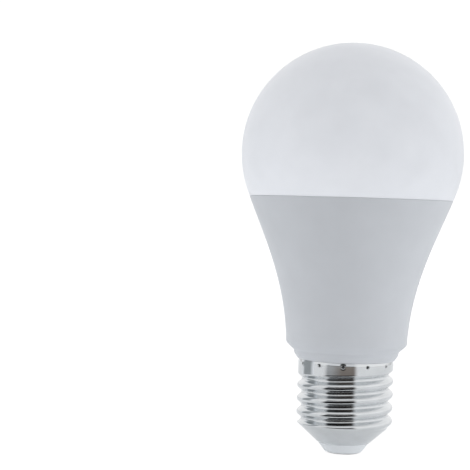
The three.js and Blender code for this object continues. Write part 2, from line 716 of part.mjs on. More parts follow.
addPart("heat_sink", makeHeatSink(), FINISH.aluminium);
const padFoot = PLATE_TOP_Z + FACE_GAP;
const thermalPad = stackDisc(PAD_R, padFoot, padFoot + PAD_THICK, SCREW_HOLE_R.pad);
addPart("thermal_pad", thermalPad, FINISH.silicone);
const boardFoot = BOARD_TOP_Z - LED_BOARD_THICK;
const ledBoard = stackDisc(LED_BOARD_R, boardFoot, BOARD_TOP_Z, SCREW_HOLE_R.board);
addPart("led_board", ledBoard, FINISH.whiteBoard);
const { cool, warm, colour } = FIRST_LED_DEG;
addLedRing("cool_white_led", WHITE_LED_SIZE, WHITE_LED_RING_R, cool, FINISH.coolPhosphor);
addLedRing("warm_white_led", WHITE_LED_SIZE, WHITE_LED_RING_R, warm, FINISH.warmPhosphor);
addLedRing("colour_led", COLOUR_LED_SIZE, COLOUR_LED_RING_R, colour, FINISH.clearPackage);
addPart(
  "current_regulator_chip",
  smallChip().rotateZ(Math.PI / 2).translate(0, 5.2, BOARD_TOP_Z + FACE_GAP),
  FINISH.chip,
);
SCREW_HOLES.forEach((x, i) => addPart(`board_screw_${i + 1}`, makeScrew(x), FINISH.steel));

const onRadio = (geometry, z, front) =>
  mountUpright(geometry, 0, z, RADIO_THICK / 2 + FACE_GAP, front);
addPart("radio_board", makeRadioBoard(), FINISH.blackBoard);
addPart("radio_chip", onRadio(box([-2.5, -2.5, 0], [2.5, 2.5, 0.9]), RADIO_CHIP_Z, true), FINISH.chip);
addPart("radio_shield", onRadio(makeShield(), RADIO_CHIP_Z, true), FINISH.steel);
addPart("radio_antenna", makeAntenna(), FINISH.gold);
addPart("memory_chip", onRadio(smallChip(), MEMORY_CHIP_Z, false), FINISH.chip);
addPart("signal_header", makeHeader(), FINISH.chip);

const onDriver = (geometry, [x, z], front) =>
  mountUpright(geometry, x, z, DRIVER_THICK / 2 + FACE_GAP, front);
addPart("driver_board", makeDriverBoard(), FINISH.greenBoard);
addPart("bulk_capacitor", capacitorCan(BULK_CAPACITOR), FINISH.capacitorSleeve);
addPart("output_capacitor", capacitorCan(OUTPUT_CAPACITOR), FINISH.capacitorSleeve);
addPart("transformer_core", makeTransformerCore().translate(...TRANSFORMER_AT), FINISH.ferrite);
addPart("transformer_bobbin", makeBobbin().translate(...TRANSFORMER_AT), FINISH.chip);
addPart("transformer_winding", makeWinding().translate(...TRANSFORMER_AT), FINISH.yellowTape);
addPart("filter_inductor", makeInductor().translate(...INDUCTOR_AT), FINISH.ferrite);
addPart("film_capacitor", makeFilmCapacitor(), FINISH.filmCase);
addPart("fuse_resistor", makeFuseResistor().translate(...FUSE_AT), FINISH.resistorGreen);
addPart("varistor", makeVaristor().translate(...VARISTOR_AT), FINISH.discBlue);
addPart("bridge_rectifier", onDriver(leadedChip(4.8, 6.5, 2.4, 2), RECTIFIER_AT, false), FINISH.chip);
addPart("driver_chip", onDriver(smallChip(), DRIVER_CHIP_AT, false), FINISH.chip);
addPart("output_diode", onDriver(leadedChip(3.6, 4.4, 2.2, 1), DIODE_AT, false), FINISH.chip);

addPart("live_wire", makeLiveWire(), FINISH.redWire);
addPart("neutral_wire", makeNeutralWire(), FINISH.copper);
addPart("led_wire_red", makeLedWire(1), FINISH.redWire);
addPart("led_wire_black", makeLedWire(-1), FINISH.blackWire);

export default bulb;
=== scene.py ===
"""Looks of a smart LED light bulb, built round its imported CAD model.

The lamp stands on its centre contact with +Z up its axis. Sizes are in millimetres, and a mesh is
scaled to metres as it is made. Only the stage's own sizes are in metres. Turned pieces are a
profile of radius and height carried round the axis, and every other new piece is a closed outline
carried along a path or a stack of rounded rectangles.
"""

from __future__ import annotations

import logging
import math
from dataclasses import dataclass, field
from enum import Enum

import bpy
import numpy as np
from mathutils import Matrix, Vector


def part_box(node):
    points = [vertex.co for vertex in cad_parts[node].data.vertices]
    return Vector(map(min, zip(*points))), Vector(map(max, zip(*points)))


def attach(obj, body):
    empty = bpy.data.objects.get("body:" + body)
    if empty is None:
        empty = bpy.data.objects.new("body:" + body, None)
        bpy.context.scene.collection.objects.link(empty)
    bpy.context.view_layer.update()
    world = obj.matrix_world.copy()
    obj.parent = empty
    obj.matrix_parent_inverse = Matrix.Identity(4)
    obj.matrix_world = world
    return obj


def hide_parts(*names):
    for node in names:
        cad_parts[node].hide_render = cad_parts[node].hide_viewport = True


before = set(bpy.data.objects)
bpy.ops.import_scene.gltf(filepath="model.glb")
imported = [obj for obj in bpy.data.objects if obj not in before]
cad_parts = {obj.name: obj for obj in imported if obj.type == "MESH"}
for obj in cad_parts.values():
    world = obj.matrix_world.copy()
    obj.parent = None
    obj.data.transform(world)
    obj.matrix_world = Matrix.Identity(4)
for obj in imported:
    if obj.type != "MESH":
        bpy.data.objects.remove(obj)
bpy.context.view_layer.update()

MM = 0.001
BODY = "root"
LOG = logging.getLogger("bulb")
MARK = "mark"
SOLDER = 0.05

Colour = tuple[float, float, float]


def top_of(node: str) -> float:
    """Height in millimetres of a CAD node's highest point."""
    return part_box(node)[1].z / MM


def foot_of(node: str) -> float:
    """Height in millimetres of a CAD node's lowest point."""
    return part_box(node)[0].z / MM


def radius_of(node: str) -> float:
    """Largest radius in millimetres of a CAD node that is turned about the axis."""
    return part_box(node)[1].x / MM


def spot_of(node: str) -> np.ndarray:
    """Middle of a CAD node's box in millimetres, brought down to height 0."""
    low, high = (np.array(corner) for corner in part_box(node))
    return (low + high) / 2 / MM * (1, 1, 0)


def half_width_of(node: str) -> float:
    """Half of a CAD node's width in millimetres."""
    low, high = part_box(node)
    return (high.x - low.x) / 2 / MM


def rotation(degrees: float, axis: str) -> np.ndarray:
    """Matrix of a turn about one axis."""
    return np.array(Matrix.Rotation(math.radians(degrees), 3, axis))


# ---- Surfaces ----------------------------------------------------------------------------------


def wrap(rows: np.ndarray, ring: bool) -> tuple[np.ndarray, np.ndarray, np.ndarray]:
    """Joins a grid whose rows are loops round an axis.

    Args:
        rows: array of shape (rows, columns, 3). Columns close on themselves, and a first or last
            row whose points coincide becomes a pole.
        ring: True where the last row joins the first, as on a ring.

    Returns:
        Which points are used, the quads and the triangles, numbered among the used points.
    """
    count, columns, _ = rows.shape
    index = np.arange(count * columns).reshape(count, columns)
    poles = [] if ring else [r for r in (0, count - 1) if np.ptp(rows[r], axis=0).max() < 1e-7]
    for row in poles:
        index[row] = index[row, 0]
    lower = index if ring else index[:-1]
    upper = np.roll(index, -1, axis=0) if ring else index[1:]
    quads = np.stack([lower, np.roll(lower, -1, 1), np.roll(upper, -1, 1), upper], axis=-1).reshape(-1, 4)
    at_foot = quads[:, 0] == quads[:, 1]
    at_top = quads[:, 2] == quads[:, 3]
    faces = quads[~(at_foot | at_top)]
    fans = np.concatenate([quads[at_foot][:, [0, 2, 3]], quads[at_top][:, [0, 1, 2]]])
    used = np.unique(np.concatenate([faces.ravel(), fans.ravel()]))
    renumber = np.zeros(count * columns, int)
    renumber[used] = np.arange(len(used))
    return used, renumber[faces], renumber[fans]


def skin(
    name: str,
    *grids: np.ndarray,
    ring: bool = False,
    crease_deg: float = 32.0,
    marks: tuple = (),
) -> bpy.types.Object:
    """Makes one object from closed grids of points.

    Args:
        name: name of the new object.
        grids: arrays of shape (rows, columns, 3) in millimetres, as wrap() takes them.
        ring: True where each grid's last row joins its first.
        crease_deg: edges that bend more than this many degrees are shaded sharp.
        marks: for each grid a number from 0 to 1, or an array of one for each point, that the
            material reads to tell one part of the piece from another.

    Returns:
        The new object, linked to the scene, with its place in its mesh.
    """
    points, faces, values = [], [], []
    for rows, value in zip(grids, marks or (0.0,) * len(grids)):
        used, quads, fans = wrap(rows, ring)
        start = sum(len(part) for part in points)
        points.append(rows.reshape(-1, 3)[used] * MM)
        faces += (quads + start).tolist() + (fans + start).tolist()
        values.append(np.broadcast_to(value, rows.shape[:2]).reshape(-1)[used])
    mesh = bpy.data.meshes.new(name)
    mesh.from_pydata(np.concatenate(points).tolist(), [], faces)
    mesh.shade_smooth()
    mesh.set_sharp_from_angle(angle=math.radians(crease_deg))
    if marks:
        layer = mesh.attributes.new(MARK, "FLOAT", "POINT")
        layer.data.foreach_set("value", np.concatenate(values).astype(np.float32))
    piece = bpy.data.objects.new(name, mesh)
    bpy.context.scene.collection.objects.link(piece)
    return piece


def rounded(spec: np.ndarray, columns: int = 40) -> np.ndarray:
    """Stacks rounded rectangles.

    Each row (a, b, n, z) of the spec becomes the loop |x / a|^n + |y / b|^n = 1 at height z: an
    ellipse where n is 2 and nearer a rectangle as n grows. A row with a = b = 0 is a pole.

    Args:
        spec: array of (a, b, n, z) rows from the foot up.
        columns: number of angles in a full turn.

    Returns:
        Grid of points for skin().
    """
    angle = np.linspace(0, 2 * np.pi, columns, endpoint=False)[None, :]
    a, b, n, z = (column[:, None] for column in np.asarray(spec, float).T)
    reach = (np.abs(np.cos(angle)) ** n + np.abs(np.sin(angle)) ** n) ** (-1 / n)
    return np.stack([a * reach * np.cos(angle), b * reach * np.sin(angle), z + 0 * angle], axis=-1)


def spline(points: list, steps: int) -> np.ndarray:
    """Draws a smooth curve through points: each span is the Catmull-Rom cubic of its neighbours.

    Args:
        points: list of (x, y, z) points.
        steps: pieces in the whole curve.

    Returns:
        Array of points on the curve.
    """
    knots = np.asarray(points, float)
    knots = np.concatenate([2 * knots[:1] - knots[1:2], knots, 2 * knots[-1:] - knots[-2:-1]])
    at = np.linspace(0, len(points) - 1, steps + 1)
    span = np.minimum(at.astype(int), len(points) - 2)
    t = (at - span)[:, None]
    a, b, c, d = (knots[span + k] for k in range(4))
    squared = 2 * a - 5 * b + 4 * c - d
    cubed = 3 * b - a - 3 * c + d
    return 0.5 * (2 * b + (c - a) * t + squared * t**2 + cubed * t**3)


def carried(path: np.ndarray, section: np.ndarray, side: tuple[float, float, float]) -> np.ndarray:
    """Carries a section along a path and closes both ends.

    The section's second axis is the part of a fixed side direction that is square to the path.

    Args:
        path: array of (x, y, z) points.
        section: array of (u, v) points, anticlockwise seen against the path's direction.
        side: the fixed direction, never along the path.

    Returns:
        Grid of points for skin().
    """
    along = np.gradient(path, axis=0)
    along /= np.linalg.norm(along, axis=1, keepdims=True)
    across = np.cross(np.array(side, float), along)
    across /= np.linalg.norm(across, axis=1, keepdims=True)
    up = np.cross(along, across)
    u, v = section[None, :, :1], section[None, :, 1:]
    rows = path[:, None] + u * across[:, None] + v * up[:, None]
    ends = np.repeat(path[[0, -1]][:, None], len(section), axis=1)
    return np.concatenate([ends[:1], rows, ends[1:]])


def circle(radius: float, columns: int = 14) -> np.ndarray:
    """Section of a round wire."""
    angle = np.linspace(0, 2 * np.pi, columns, endpoint=False)
    return radius * np.stack([np.cos(angle), np.sin(angle)], axis=-1)


def oblong(half_width: float, half_height: float) -> np.ndarray:
    """Section of a flat strip."""
    return np.array([(1, 1), (-1, 1), (-1, -1), (1, -1)]) * (half_width, half_height)


def turned(profile: np.ndarray, columns: int = 192) -> np.ndarray:
    """Carries a profile round the axis: point (r, z) becomes (r cos a, r sin a, z) at each angle a.

    Args:
        profile: array of (radius, height) points, anticlockwise round the section.
        columns: number of angles in a full turn.

    Returns:
        Grid of points for skin().
    """
    angle = np.linspace(0, 2 * np.pi, columns, endpoint=False)
    radius, height = profile[:, :1], profile[:, 1:]
    return np.stack([radius * np.cos(angle), radius * np.sin(angle), height + 0 * angle], axis=-1)


def fillet(corners: np.ndarray, radii: np.ndarray, steps: int = 5, closed: bool = True) -> np.ndarray:
    """Rounds the corners of an outline.

    Each corner C is replaced by the curve (1-t)^2 A + 2t(1-t) C + t^2 B, where A and B lie on the
    two sides at the distance r tan(turn / 2) from C that a round of radius r touches.

    Args:
        corners: array of (x, y) corners.
        radii: one radius for each corner, 0 to leave it sharp.
        steps: pieces in each rounded corner.
        closed: False to leave the first and last points as they are.

    Returns:
        The rounded outline, with repeated points dropped.
    """
    corners = np.asarray(corners, float)
    radii = np.broadcast_to(np.asarray(radii, float), len(corners)).copy()
    if not closed:
        radii[[0, -1]] = 0
    back = np.roll(corners, 1, 0) - corners
    ahead = np.roll(corners, -1, 0) - corners
    back_length = np.linalg.norm(back, axis=1)
    ahead_length = np.linalg.norm(ahead, axis=1)
    back = back / np.maximum(back_length, 1e-9)[:, None]
    ahead = ahead / np.maximum(ahead_length, 1e-9)[:, None]
    turn = np.pi - np.arccos(np.clip(np.sum(back * ahead, axis=1), -1, 1))
    reach = np.minimum(radii * np.tan(turn / 2), 0.49 * np.minimum(back_length, ahead_length))
    reach = np.where(radii > 0, reach, 0)[:, None]
    start, end = corners + back * reach, corners + ahead * reach
    t = np.linspace(0, 1, steps + 1)[None, :, None]
    curve = (1 - t) ** 2 * start[:, None] + 2 * t * (1 - t) * corners[:, None] + t**2 * end[:, None]
    points = curve.reshape(-1, 2)
    gap = np.linalg.norm(points - np.roll(points, 1, 0), axis=1)
    keep = gap > 1e-6
    keep[0] = True if not closed else keep[0]
    return points[keep]


def arc(height: float, radius: float, start_deg: float, end_deg: float, steps: int) -> np.ndarray:
    """Points (r cos a, h + r sin a) between two angles on a circle whose centre is on the axis."""
    angle = np.radians(np.linspace(start_deg, end_deg, steps + 1))
    return np.stack([radius * np.cos(angle), height + radius * np.sin(angle)], axis=-1)


def smooth_least(first: np.ndarray, second: np.ndarray, blend: float) -> np.ndarray:
    """The lesser of two values, rounded where they cross within a blend of each other."""
    mix = np.clip(0.5 + 0.5 * (first - second) / blend, 0, 1)
    return first * (1 - mix) + second * mix - blend * mix * (1 - mix)


def bezier(points: np.ndarray, steps: int) -> tuple[np.ndarray, np.ndarray]:
    """Works out a cubic curve: (1-t)^3 A + 3t(1-t)^2 B + 3t^2(1-t) C + t^3 D.

    Args:
        points: the four control points A, B, C and D.
        steps: pieces in the curve, at even steps of t.

    Returns:
        The points on the curve and the unit tangents there.
    """
    t = np.linspace(0, 1, steps + 1)[:, None]
    a, b, c, d = points
    curve = (1 - t) ** 3 * a + 3 * t * (1 - t) ** 2 * b + 3 * t**2 * (1 - t) * c + t**3 * d
    slope = 3 * (1 - t) ** 2 * (b - a) + 6 * t * (1 - t) * (c - b) + 3 * t**2 * (d - c)
    return curve, slope / np.linalg.norm(slope, axis=1, keepdims=True)


def dress(piece: bpy.types.Object, material: bpy.types.Material) -> None:
    """Gives a piece one material all over."""
    piece.data.materials.clear()
    piece.data.materials.append(material)


def place(piece: bpy.types.Object, node: str, material: bpy.types.Material) -> None:
    """Dresses a finished piece and rides it on the lamp in place of a CAD node.

    Args:
        piece: the new piece.
        node: the CAD node that it stands for.
        material: its material.
    """
    dress(piece, material)
    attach(piece, BODY)
    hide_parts(node)
    LOG.info("%s: %d faces", piece.name, len(piece.data.polygons))


def keep(node: str, slot: str, material: bpy.types.Material) -> None:
    """Dresses a CAD node that keeps its own shape.

    Args:
        node: the CAD node.
        slot: not used.
        material: its material.
    """
    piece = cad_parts[node]
    dress(piece, material)
    LOG.info("%s: kept, %s", node, material.name)


# ---- Materials ---------------------------------------------------------------------------------


class Graph:
    """A node tree with short methods for the nodes that this file uses most."""

    def __init__(self, tree: bpy.types.NodeTree) -> None:
        """Empties a tree and keeps it."""
        self.tree = tree
        tree.nodes.clear()

    def node(self, kind: str, links: dict | None = None, **values: object) -> bpy.types.Node:
        """Adds a node.

        Args:
            kind: Blender's name for the node type, without its ShaderNode prefix.
            links: input name or number, to the socket or the value that feeds it.
            values: attributes of the node, set before its inputs are linked.

        Returns:
            The new node.
        """
        made = self.tree.nodes.new("ShaderNode" + kind)
        for key, value in values.items():
            setattr(made, key, value)
        for key, value in (links or {}).items():
            self.feed(made.inputs[key], value)
        return made

    def feed(self, socket: bpy.types.NodeSocket, value: object) -> None:
        """Links a socket to another, or sets its value.

        Args:
            socket: the input to feed.
            value: a socket, a number, a vector or a colour of three numbers.
        """
        if isinstance(value, bpy.types.NodeSocket):
            self.tree.links.new(value, socket)
        elif socket.type == "RGBA" and len(value) == 3:
            socket.default_value = (*value, 1)
        else:
            socket.default_value = value

    def math(self, operation: str, *operands: object) -> bpy.types.NodeSocket:
        """One sum on sockets or numbers."""
        return self.node("Math", dict(enumerate(operands)), operation=operation).outputs["Value"]

    def step(
        self, value: object, start: float, end: float, low: float = 0.0, high: float = 1.0
    ) -> bpy.types.NodeSocket:
        """Maps a value from a range to another along a smooth S curve, held at the ends."""
        links = {"Value": value, "From Min": start, "From Max": end, "To Min": low, "To Max": high}
        return self.node("MapRange", links, interpolation_type="SMOOTHSTEP").outputs["Result"]

    def window(self, value: object, low: float, high: float, edge: float) -> bpy.types.NodeSocket:
        """Picks out the values between two limits.

        Args:
            value: the value to test.
            low: the lower limit.
            high: the upper limit.
            edge: width of the soft edge centred on each limit.

        Returns:
            1 between the limits and 0 outside them.
        """
        rise = self.step(value, low - edge / 2, low + edge / 2)
        fall = self.step(value, high - edge / 2, high + edge / 2, 1.0, 0.0)
        return self.math("MULTIPLY", rise, fall)

    def blend(self, share: object, first: object, second: object) -> bpy.types.NodeSocket:
        """Mixes two colours.

        Args:
            share: 0 for the first colour only, 1 for the second only.
            first: a colour or the socket that carries it.
            second: a colour or the socket that carries it.

        Returns:
            The mixed colour.
        """
        mixed = self.node("Mix", {"Factor": share}, data_type="RGBA")
        self.feed(mixed.inputs[6], first)
        self.feed(mixed.inputs[7], second)
        return mixed.outputs[2]

    def bearings(self, vector: bpy.types.NodeSocket) -> tuple:
        """Turns a place or a direction into bearings from the lamp's axis.

        Args:
            vector: the place or direction, with the front of the lamp towards -Y.

        Returns:
            The azimuth from straight ahead, positive towards +X, the reach from the axis and the
            rise above the floor. Both angles are in radians.
        """
        axes = self.node("SeparateXYZ", {0: vector}).outputs
        ahead = self.math("MULTIPLY", axes["Y"], -1.0)
        squares = self.math("ADD", self.math("POWER", axes["X"], 2.0), self.math("POWER", ahead, 2.0))
        reach = self.math("SQRT", squares)
        around = self.math("ARCTAN2", axes["X"], ahead)
        return around, reach, self.math("ARCTAN2", axes["Z"], reach)


class Sheet(Graph):
    """A material's node tree, with the patterns that the finishes share."""

    def __init__(self, name: str) -> None:
        """Starts a material with a Principled shader on its output.

        Args:
            name: name of the material.
        """
        self.material = bpy.data.materials.new(name)
        self.material.use_nodes = True
        super().__init__(self.material.node_tree)
        self.output = self.node("OutputMaterial")
        self.shader = self.node("BsdfPrincipled")
        self.tree.links.new(self.shader.outputs["BSDF"], self.output.inputs["Surface"])

    def where(self, stretch: tuple[float, float, float] = (1, 1, 1)) -> bpy.types.NodeSocket:
        """Object coordinates in metres, multiplied along each axis."""
        coordinates = self.node("TexCoord")
        return self.node("Mapping", {"Vector": coordinates.outputs["Object"], "Scale": stretch}).outputs[0]

    def noise(
        self, size_mm: float, detail: float = 2.0, stretch: tuple[float, float, float] = (1, 1, 1)
    ) -> bpy.types.NodeSocket:
        """Cloudy noise from 0 to 1 whose lumps are about a size in millimetres."""
        links = {"Vector": self.where(stretch), "Scale": 1 / (size_mm * MM), "Detail": detail}
        return self.node("TexNoise", links).outputs["Fac"]

    def marked(self) -> bpy.types.NodeSocket:
        """The number from 0 to 1 that skin() stored at each point."""
        return self.node("Attribute", attribute_name=MARK).outputs["Fac"]

    def span(
        self, value: object, low: float, high: float, start: float = 0.3, end: float = 0.7
    ) -> bpy.types.NodeSocket:
        """Maps a value from one range to another in a straight line, held at the ends."""
        links = {"Value": value, "From Min": start, "From Max": end, "To Min": low, "To Max": high}
        return self.node("MapRange", links).outputs["Result"]

    def bump(
        self, height: bpy.types.NodeSocket, depth_mm: float, under: bpy.types.NodeSocket | None = None
    ) -> bpy.types.NodeSocket:
        """Turns a height into a relief.

        Args:
            height: a value from 0 to 1.
            depth_mm: depth of the relief in millimetres.
            under: the relief that this one lies on, if any.

        Returns:
            The surface's normal.
        """
        links = {"Height": height, "Distance": depth_mm * MM, "Strength": 1.0}
        if under is not None:
            links["Normal"] = under
        return self.node("Bump", links).outputs["Normal"]

    def mottled(
        self, cloud: bpy.types.NodeSocket, colour: Colour, dark: float, light: float
    ) -> bpy.types.NodeSocket:
        """Varies a colour between two factors of itself, by a cloudy noise."""
        return self.blend(self.span(cloud, 0, 1), shade(colour, dark), shade(colour, light))

    def glow(self, colour: object, strength: float = 1.0) -> bpy.types.Material:
        """Makes the surface give off light and reflect none."""
        return self.surface(
            Base_Color=(0, 0, 0), Specular_IOR_Level=0.0, Emission_Color=colour, Emission_Strength=strength
        )

    def surface(self, **inputs: object) -> bpy.types.Material:
        """Sets the Principled shader's inputs, where Base_Color stands for "Base Color"."""
        for key, value in inputs.items():
            self.feed(self.shader.inputs[key.replace("_", " ")], value)
        return self.material


def shade(colour: Colour, factor: float) -> Colour:
    """A colour made lighter or darker by a factor."""
    return tuple(min(1.0, c * factor) for c in colour)


@dataclass(frozen=True)
class MouldedPlastic:
    """Injection-moulded plastic: an even colour, a fine spark-eroded grain and slight mottling."""

    colour: Colour
    roughness: float = 0.5
    grain_mm: float = 0.25
    grain_depth_mm: float = 0.006
    mottle: float = 0.02
    glow: float = 0.0

    def material(self, name: str) -> bpy.types.Material:
        """Builds the material.

        Args:
            name: its name.

        Returns:
            The material.
        """
        sheet = Sheet(name)
        cloud = sheet.noise(9.0, 3.0)
        colour = sheet.mottled(cloud, self.colour, 1 - self.mottle, 1 + self.mottle)
        grain = sheet.noise(self.grain_mm, 4.0)
        rough = sheet.span(grain, self.roughness - 0.04, self.roughness + 0.05)
        return sheet.surface(
            Base_Color=colour,
            Roughness=rough,
            Normal=sheet.bump(grain, self.grain_depth_mm),
            Subsurface_Weight=self.glow,
            Subsurface_Radius=(1.0, 1.0, 1.0),
            Subsurface_Scale=2.5 * MM,
        )


@dataclass(frozen=True)
class PlatedMetal:
    """Plated or bare metal: fine rubbed lines along one direction, a soft haze, faint waviness and, where
    asked, painted shade near black in the marked pits.
    """

    colour: Colour
    roughness: float = 0.15
    haze: float = 0.08
    rub_stretch: tuple[float, float, float] = (1, 1, 12)
    rub_depth_mm: float = 0.0012
    wave_depth_mm: float = 0.0
    painted_pit_shade: bool = False

    def material(self, name: str) -> bpy.types.Material:
        """Builds the material.

        Args:
            name: its name.

        Returns:
            The material.
        """
        sheet = Sheet(name)
        rub = sheet.noise(0.9, 5.0, self.rub_stretch)
        stain = sheet.noise(4.0, 4.0)
        colour = sheet.mottled(stain, self.colour, 0.94, 1.03)
        # Painted shade: the marked pits are blended towards near black.
        if self.painted_pit_shade:
            colour = sheet.blend(sheet.marked(), colour, (0.02, 0.02, 0.022))
        relief = sheet.bump(rub, self.rub_depth_mm)
        if self.wave_depth_mm:
            relief = sheet.bump(sheet.noise(2.5, 1.0), self.wave_depth_mm, relief)
        return sheet.surface(
            Base_Color=colour,
            Metallic=1.0,
            Roughness=sheet.span(stain, self.roughness, self.roughness + self.haze),
            Normal=relief,
        )


@dataclass(frozen=True)
class Inlaid:
    """Two surfaces on one piece, told apart by the piece's marks, both finely mottled."""

    base: Colour
    inlay: Colour
    base_roughness: float = 0.45
    inlay_roughness: float = 0.3
    base_metal: float = 0.0
    inlay_metal: float = 0.0
    grain_mm: float = 0.2
    grain_depth_mm: float = 0.004

    def material(self, name: str) -> bpy.types.Material:
        """Builds the material.

        Args:
            name: its name.

        Returns:
            The material.
        """
        sheet = Sheet(name)
        share = sheet.step(sheet.marked(), 0.35, 0.65)
        grain = sheet.noise(self.grain_mm, 4.0)
        cloud = sheet.noise(1.4, 3.0)
        base = sheet.mottled(cloud, self.base, 0.9, 1.08)
        inlay = sheet.mottled(grain, self.inlay, 0.88, 1.1)
        rough = sheet.span(share, self.base_roughness, self.inlay_roughness, 0, 1)
        return sheet.surface(
            Base_Color=sheet.blend(share, base, inlay),
            Roughness=sheet.math("ADD", rough, sheet.span(grain, -0.04, 0.05)),
            Metallic=sheet.span(share, self.base_metal, self.inlay_metal, 0, 1),
            Normal=sheet.bump(grain, self.grain_depth_mm),
        )


@dataclass(frozen=True)
class SolderMask:
    """Lacquered circuit board: copper tracks and pads stand under the lacquer in low relief."""

    colour: Colour
    track_gain: float = 1.5
    cell_mm: float = 4.5
    tracks: float = 5.0
    roughness: float = 0.35

    def material(self, name: str) -> bpy.types.Material:
        """Builds the material.

        Tracks follow the lines of equal distance, summed along the axes, from scattered points.

        Args:
            name: its name.

        Returns:
            The material.
        """
        sheet = Sheet(name)
        links = {"Vector": sheet.where(), "Scale": 1 / (self.cell_mm * MM)}
        cells = sheet.node("TexVoronoi", links, distance="MANHATTAN").outputs["Distance"]
        phase = sheet.math("FRACT", sheet.math("MULTIPLY", cells, self.tracks))
        track = sheet.window(phase, 0.3, 0.7, 0.08)
        plain = sheet.noise(0.35, 3.0)
        ground = sheet.mottled(plain, self.colour, 0.92, 1.06)
        return sheet.surface(
            Base_Color=sheet.blend(track, ground, shade(self.colour, self.track_gain)),
            Roughness=sheet.span(plain, self.roughness - 0.05, self.roughness + 0.08),
            Normal=sheet.bump(track, 0.02),
        )


@dataclass(frozen=True)
class SinteredFerrite:
    """Pressed and fired ferrite: dark, matt and pitted with pale specks."""

    colour: Colour = (0.045, 0.046, 0.05)
    speck: Colour = (0.16, 0.16, 0.17)

    def material(self, name: str) -> bpy.types.Material:
        """Builds the material.

        Args:
            name: its name.

        Returns:
            The material.
        """
        sheet = Sheet(name)
        grit = sheet.noise(0.12, 5.0)
        return sheet.surface(
            Base_Color=sheet.blend(sheet.span(grit, 0, 1, 0.55, 0.75), self.colour, self.speck),
            Roughness=sheet.span(grit, 0.6, 0.8),
            Normal=sheet.bump(grit, 0.02),
        )


@dataclass(frozen=True)
class WoundTape:
    """Polyester tape wound in layers, with faint edges round the winding and a little shine."""

    colour: Colour = (0.78, 0.6, 0.08)
    lap_mm: float = 1.1

    def material(self, name: str) -> bpy.types.Material:
        """Builds the material. The laps are bands across the winding's own axis.

        Args:
            name: its name.

        Returns:
            The material.
        """
        sheet = Sheet(name)
        height = sheet.node("SeparateXYZ", {0: sheet.where()}).outputs["Z"]
        wobble = sheet.math("MULTIPLY", sheet.noise(3.0), 0.3)
        laps = sheet.math("MULTIPLY", height, 1 / (self.lap_mm * MM))
        lap = sheet.math("FRACT", sheet.math("ADD", laps, wobble))
        cloud = sheet.noise(0.8, 3.0)
        return sheet.surface(
            Base_Color=sheet.mottled(cloud, self.colour, 0.85, 1.05),
            Roughness=sheet.span(cloud, 0.22, 0.38),
            Normal=sheet.bump(lap, 0.03),
        )


# ---- Outer pieces ------------------------------------------------------------------------------


@dataclass
class Globe:
    """The frosted globe and the bead of silicone that holds its skirt in the housing."""

    radius: float = field(default_factory=lambda: radius_of("diffuser") - 0.005)
    top: float = field(default_factory=lambda: top_of("diffuser"))
    skirt_foot: float = field(default_factory=lambda: foot_of("diffuser"))
    seam: float = field(default_factory=lambda: top_of("housing"))
    wall: float = 1.2
    skirt_outer: float = 25.2
    skirt_inner: float = 24.2
    edge_round: float = 0.16
    seam_gap: float = 0.05
    shoulder_rise: float = 1.35
    bead_sag: float = 0.14
    colour: Colour = (0.835, 0.86, 0.915)

    def profile(self) -> np.ndarray:
        """Draws the section of the globe: two spheres joined by the lower edge and the skirt.

        Returns:
            Array of (radius, height) points, from the top inside to the top outside.
        """
        centre = self.top - self.radius
        inner = self.radius - self.wall
        edge = self.seam + self.seam_gap
        shoulder = edge + self.shoulder_rise
        rim_deg = math.degrees(math.asin((edge + self.edge_round - centre) / self.radius))
        inner_deg = math.degrees(math.asin((shoulder + 0.5 - centre) / inner))
        rim_radius = math.sqrt(self.radius**2 - (edge - centre) ** 2)
        lower = fillet(
            np.array([
                (inner * math.cos(math.radians(inner_deg)), shoulder + 0.5),
                (self.skirt_inner, shoulder),
                (self.skirt_inner, self.skirt_foot),
                (self.skirt_outer, self.skirt_foot),
                (self.skirt_outer, edge),
                (rim_radius, edge),
                (self.radius * math.cos(math.radians(rim_deg)), edge + self.edge_round),
            ]),
            np.array([0, 0.5, 0.2, 0.3, 0.3, self.edge_round, 0]),
            closed=False,
        )
        inside = arc(centre, inner, 90, inner_deg, 40)
        outside = arc(centre, self.radius, rim_deg, 90, 72)
        inside[0, 0] = outside[-1, 0] = 0.0
        return np.concatenate([inside[:-1], lower, outside[1:]])

    def build(self) -> bpy.types.Object:
        """Makes the globe and its bead.

        Returns:
            The globe, which the stage lights.
        """
        globe = skin("globe", turned(self.profile()))
        opal = MouldedPlastic(self.colour, roughness=0.42, grain_mm=0.18, grain_depth_mm=0.003, glow=0.35)
        self.build_bead()
        place(globe, "diffuser", opal.material("opal_globe"))
        return globe

    def build_bead(self) -> None:
        """Makes the silicone bead: a ring whose upper face sags where it has wetted both walls."""
        low, high = foot_of("silicone_seal"), top_of("silicone_seal")
        inner, outer = self.skirt_outer + self.seam_gap, radius_of("silicone_seal")
        across = np.linspace(outer, inner, 7)
        sag = self.bead_sag * np.sin(np.pi * (across - inner) / (outer - inner))
        upper = np.stack([across, high - sag], axis=-1)
        rows = turned(np.concatenate([[(inner, low), (outer, low)], upper]), 144)
        bead = skin("silicone_bead", rows, ring=True)
        silicone = MouldedPlastic((0.8, 0.81, 0.82), roughness=0.55, glow=0.2)
        place(bead, "silicone_seal", silicone.material("silicone_rubber"))


